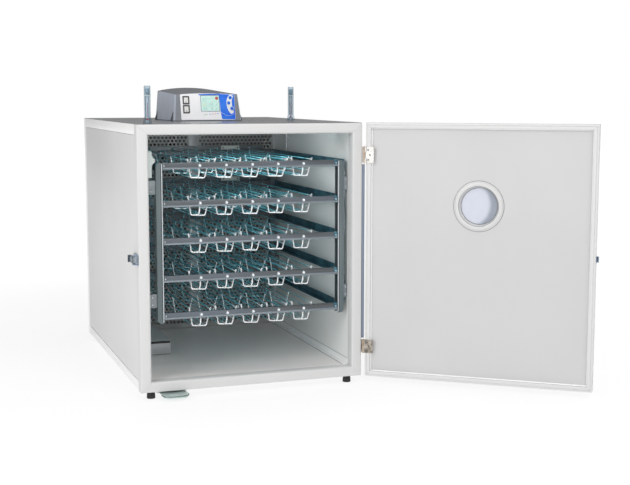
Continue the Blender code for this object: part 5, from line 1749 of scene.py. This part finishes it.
def rockers():
    """Two rocker switches, each a black bezel and a white key that tips about a hidden pin."""
    x = -0.0990
    wedge = [  # y, z about the pin
        (0.0044, -0.0068), (-0.0046, -0.0068), (-0.0050, -0.0062), (-0.0046, -0.0010),
        (-0.0046, 0.0010), (-0.0050, 0.0062), (-0.0046, 0.0068), (0.0044, 0.0068),
    ]
    bar = [
        (-0.0004, -0.00475, 0.0025), (0.0004, -0.00475, 0.0025), (0.0004, -0.00487, 0.0050),
        (-0.0004, -0.00487, 0.0050),
    ]
    ring = [(0.0010, -0.00495), (0.0016, -0.00500), (0.0021, -0.00495)]
    for name, height in (("upper", 0.0545), ("lower", 0.0310)):
        z = up(height)

        def around(half_x, half_z, radius):
            return rect(x - half_x, z - half_z, x + half_x, z + half_z, radius)

        part = Part(FACE)
        plate(part, around(0.0090, 0.0112, 0.0016), -0.0022, -0.0002,
              holes=[around(0.0058, 0.0074, 0.0008)], bevel=0.0006)
        plate(part, around(0.0066, 0.0084, 0.0008), -0.0003, 0.0010, bevel=0.0001)
        piece(f"rocker_bezel_{name}", part, [BEZEL])
        pin_frame = Matrix.Translation((x, 0.0030, z))
        part = Part(FACE @ pin_frame @ Matrix.Rotation(math.radians(8.0), 4, "X"))
        plate(part, wedge, -0.0054, 0.0054, "x", bevel=0.0005)
        part.add(bar, [(0, 1, 2, 3)], 1)
        lathe(part, ring, (0, 0, -0.0038), (0, 1, 0), 18, 1)
        piece(f"rocker_key_{name}", part, [KEY, KEY_MARK], f"{name}_rocker",
              f"rocker_switch_{name}")


def keys():
    """Three round keys, each in a pale ring."""
    cap = [
        (0, -0.0029), (0.0022, -0.0028), (0.0037, -0.0025), (0.0043, -0.0018),
        (0.0046, -0.0006), (0.0047, 0.0045), (0, 0.0050),
    ]
    ring = [(0.0048, -0.0012), (0.0052, -0.0019), (0.0057, -0.0018), (0.0059, -0.0012)]
    for name, x, z in (
        ("up", 0.0215, 0.0610), ("set", 0.0165, 0.0470), ("down", 0.0245, 0.0325),
    ):
        part = Part(FACE)
        lathe(part, cap, (x, 0, up(z)), (0, 1, 0), 32)
        piece(f"key_{name}", part, [BUTTON], f"{name}_button",
              f"button_{name}", 50)
        part = Part(FACE)
        lathe(part, ring, (x, 0, up(z)), (0, 1, 0), 32)
        piece(f"key_ring_{name}", part, [PRINT_PALE], angle=50)


# ---------------------------------------------------------------- thermometers on the roof
def thermometer(name, x, y):
    """A clear flared tube, and the capped stem and scale card inside it."""
    at = Matrix.Translation((x, y, ROOF_TOP))
    shell = [
        (0.0062, 0.0), (0.0110, 0.0), (0.0108, 0.0024), (0.0103, 0.0042), (0.0094, 0.0100),
        (0.0082, 0.0150), (0.0080, 0.0170), (0.0080, 0.0880), (0.0076, 0.0895),
        (0.0068, 0.0900), (0.0064, 0.0892), (0.0062, 0.0840), (0.0062, 0.0),
    ]
    cap = [(0, 0.0835), (0.0058, 0.0836), (0.0059, 0.0700), (0.0052, 0.0690), (0, 0.0690)]
    band = [(0.0081, 0.0655), (0.0083, 0.0660), (0.0083, 0.0680), (0.0081, 0.0685)]
    bulb = [
        (0, 0.0020), (0.0022, 0.0028), (0.0030, 0.0060), (0.0028, 0.0100), (0.0012, 0.0130),
        (0, 0.0132),
    ]
    collar = [
        (0.0046, 0.0002), (0.0060, 0.0004), (0.0060, 0.0075), (0.0044, 0.0085),
        (0.0044, 0.0004),
    ]
    part = Part(at)
    lathe(part, shell, sides=48)
    piece(f"thermometer_tube_{name}", part, [TUBE],
          replaces=f"thermometer_{name}", angle=40)
    part = Part(at)
    lathe(part, cap, sides=28)
    lathe(part, band, sides=40)
    box(part, (-0.0040, 0.0008, 0.0150), (0.0036, 0.0014, 0.0690), 0.0002, 1, 1)
    wire(part, [(0, -0.0002, 0.0120), (0, -0.0002, 0.0670)], 0.0016, 12, 3)
    wire(part, [(0, -0.0014, 0.0120), (0, -0.0014, 0.0500)], 0.0006, 10, 2)
    for edge in (-0.0043, 0.0039):
        wire(part, [(edge, 0.0008, 0.0145), (edge, 0.0008, 0.0692)], 0.0005, 8, 5)
    wire(part, [(-0.0043, 0.0008, 0.0692), (0.0039, 0.0008, 0.0692)], 0.0005, 8, 5)
    lathe(part, bulb, (0, -0.0002, 0), sides=20, mat=2)
    lathe(part, collar, sides=24, mat=4)
    for k in range(25):
        z = 0.0180 + k * 0.0020
        length = 0.0030 if k % 5 == 0 else 0.0016
        card(part, -0.0038, z, -0.0038 + length, z + 0.0003, 0.00070, 5)
    mats = [TUBE_DARK, SCALE_WHITE, SPIRIT, PRINT_PALE, ALU, SCALE_INK]
    piece(f"thermometer_scale_{name}", part, mats)


def thermometers():
    thermometer("left", -0.2545, -0.3755)
    thermometer("right", 0.194, -0.109)


# ---------------------------------------------------------------- stage, light and camera
def stage_material():
    """Pale matt ground that fades into glowing white away from the middle."""
    mat, tree, shader = new_material("stage")
    coords = object_coords(tree)
    tone = spread(tree, noise(tree, coords, 3.0), 0.0, 1.0, 0.90, 0.92)
    feed(tree, shader, {"Base Color": tone, "Roughness": 0.75})
    far = node(tree, "VectorMath", {0: coords}, "Value", operation="LENGTH")
    fade = spread(tree, far, 0.7, 2.2, 0.72, interpolation_type="SMOOTHSTEP")
    paper = node(tree, "Emission", {"Strength": 1.04})
    set_surface(tree, node(tree, "MixShader", {0: fade, 1: shader.outputs[0], 2: paper}))
    return mat


def stage_floor():
    data = bpy.data.meshes.new("stage_floor")
    disc = [(x, y, STAGE_Z) for x, y in circle(0, 0, 14, 64)]
    data.from_pydata(disc, [], [tuple(range(64))])
    data.materials.append(stage_material())
    stage = bpy.data.objects.new("stage_floor", data)
    bpy.context.scene.collection.objects.link(stage)


def studio_world():
    """White to the camera; a soft grey sky, brighter overhead, to everything else."""
    world = bpy.data.worlds.new("studio")
    bpy.context.scene.world = world
    world.use_nodes = True
    tree = world.node_tree
    tree.nodes.clear()
    out = tree.nodes.new("ShaderNodeOutputWorld")
    seen = node(tree, "Background", {"Color": (1, 1, 1, 1), "Strength": 1.0})
    direction = node(tree, "TexCoord", output="Generated")
    height = node(tree, "SeparateXYZ", {0: direction}, "Z")
    sky = spread(tree, height, -0.2, 1.0, 0.62, 1.0)
    lit = node(tree, "Background", {"Color": sky, "Strength": 0.45})
    camera_ray = node(tree, "LightPath", output="Is Camera Ray")
    feed(tree, out, {"Surface": node(tree, "MixShader", {0: camera_ray, 1: lit, 2: seen})})


def softbox(name, at, target, size, power, colour=(1, 1, 1)):
    data = bpy.data.lights.new(name, "AREA")
    data.shape = "RECTANGLE"
    data.size, data.size_y = size
    data.energy = power
    data.color = colour
    obj = bpy.data.objects.new(name, data)
    bpy.context.scene.collection.objects.link(obj)
    obj.location = at
    obj.rotation_euler = (Vector(target) - Vector(at)).to_track_quat("-Z", "Y").to_euler()
    obj.visible_camera = False
    return obj


def lights():
    softbox("key_left", at=(-3.1, -2.3, 1.9), target=(0.0, 0.0, 0.3), size=(1.8, 1.8), power=56)
    softbox("front_high", at=(0.35, -3.0, 2.1), target=(0.05, -0.1, 0.2), size=(1.8, 1.4),
            power=31)
    softbox("front_low", at=(-0.3, -3.9, 0.7), target=(0.0, 0.0, 0.25), size=(1.6, 1.0), power=3)
    left_low = softbox("left_low", at=(-1.35, -2.5, 0.30), target=(0.25, -0.15, 0.08),
                       size=(0.8, 0.35), power=9)
    left_low.visible_glossy = False
    softbox("chamber", at=(0.0, -0.30, 0.615), target=(0.0, 0.10, 0.10), size=(0.30, 0.06),
            power=0.58, colour=(1.0, 0.985, 0.975))
    softbox("top", at=(0.1, -0.3, 3.0), target=(0.0, 0.0, 0.3), size=(2.4, 2.4), power=24)
    softbox("rim_right", at=(2.9, -0.2, 1.6), target=(0.3, -0.3, 0.3), size=(1.2, 1.8), power=22)


def camera():
    data = bpy.data.cameras.new("camera")
    data.lens = 67.81
    data.sensor_width = 36.0
    data.clip_start, data.clip_end = 0.05, 60.0
    cam = bpy.data.objects.new("camera", data)
    bpy.context.scene.collection.objects.link(cam)
    yaw, pitch, roll = math.radians(19.575), math.radians(-7.073), math.radians(0.04)
    cam.location = (-0.831, -3.189, 0.718)
    cam.rotation_mode = "XYZ"
    level = math.cos(pitch)
    look = Vector((math.sin(yaw) * level, math.cos(yaw) * level, math.sin(pitch)))
    turn = look.to_track_quat("-Z", "Y") @ Matrix.Rotation(roll, 3, "Z").to_quaternion()
    cam.rotation_euler = turn.to_euler()
    bpy.context.scene.camera = cam


for build in (
    front_frame, side_walls, roof, floor_panel, floor_corner_trim, back_wall, feet,
    door_rim, door_leaf, door_sealing_bead, porthole, latch_strike, hinges, hinge_side_strip,
    latch_base, latch_handle, drip_tab, tray_rack, cradles, tilt_link, link_pads, drive_shaft,
    gearmotor, partition, partition_strips, heating_ring, fan_impeller, water_tray,
    hanging_probe, control_case, front_plate, control_print, lcd_display, rockers, keys,
    thermometers, stage_floor, studio_world, lights, camera,
):
    build()

bpy.context.scene.view_settings.view_transform = "Standard"
bpy.context.scene.view_settings.exposure = 0.0
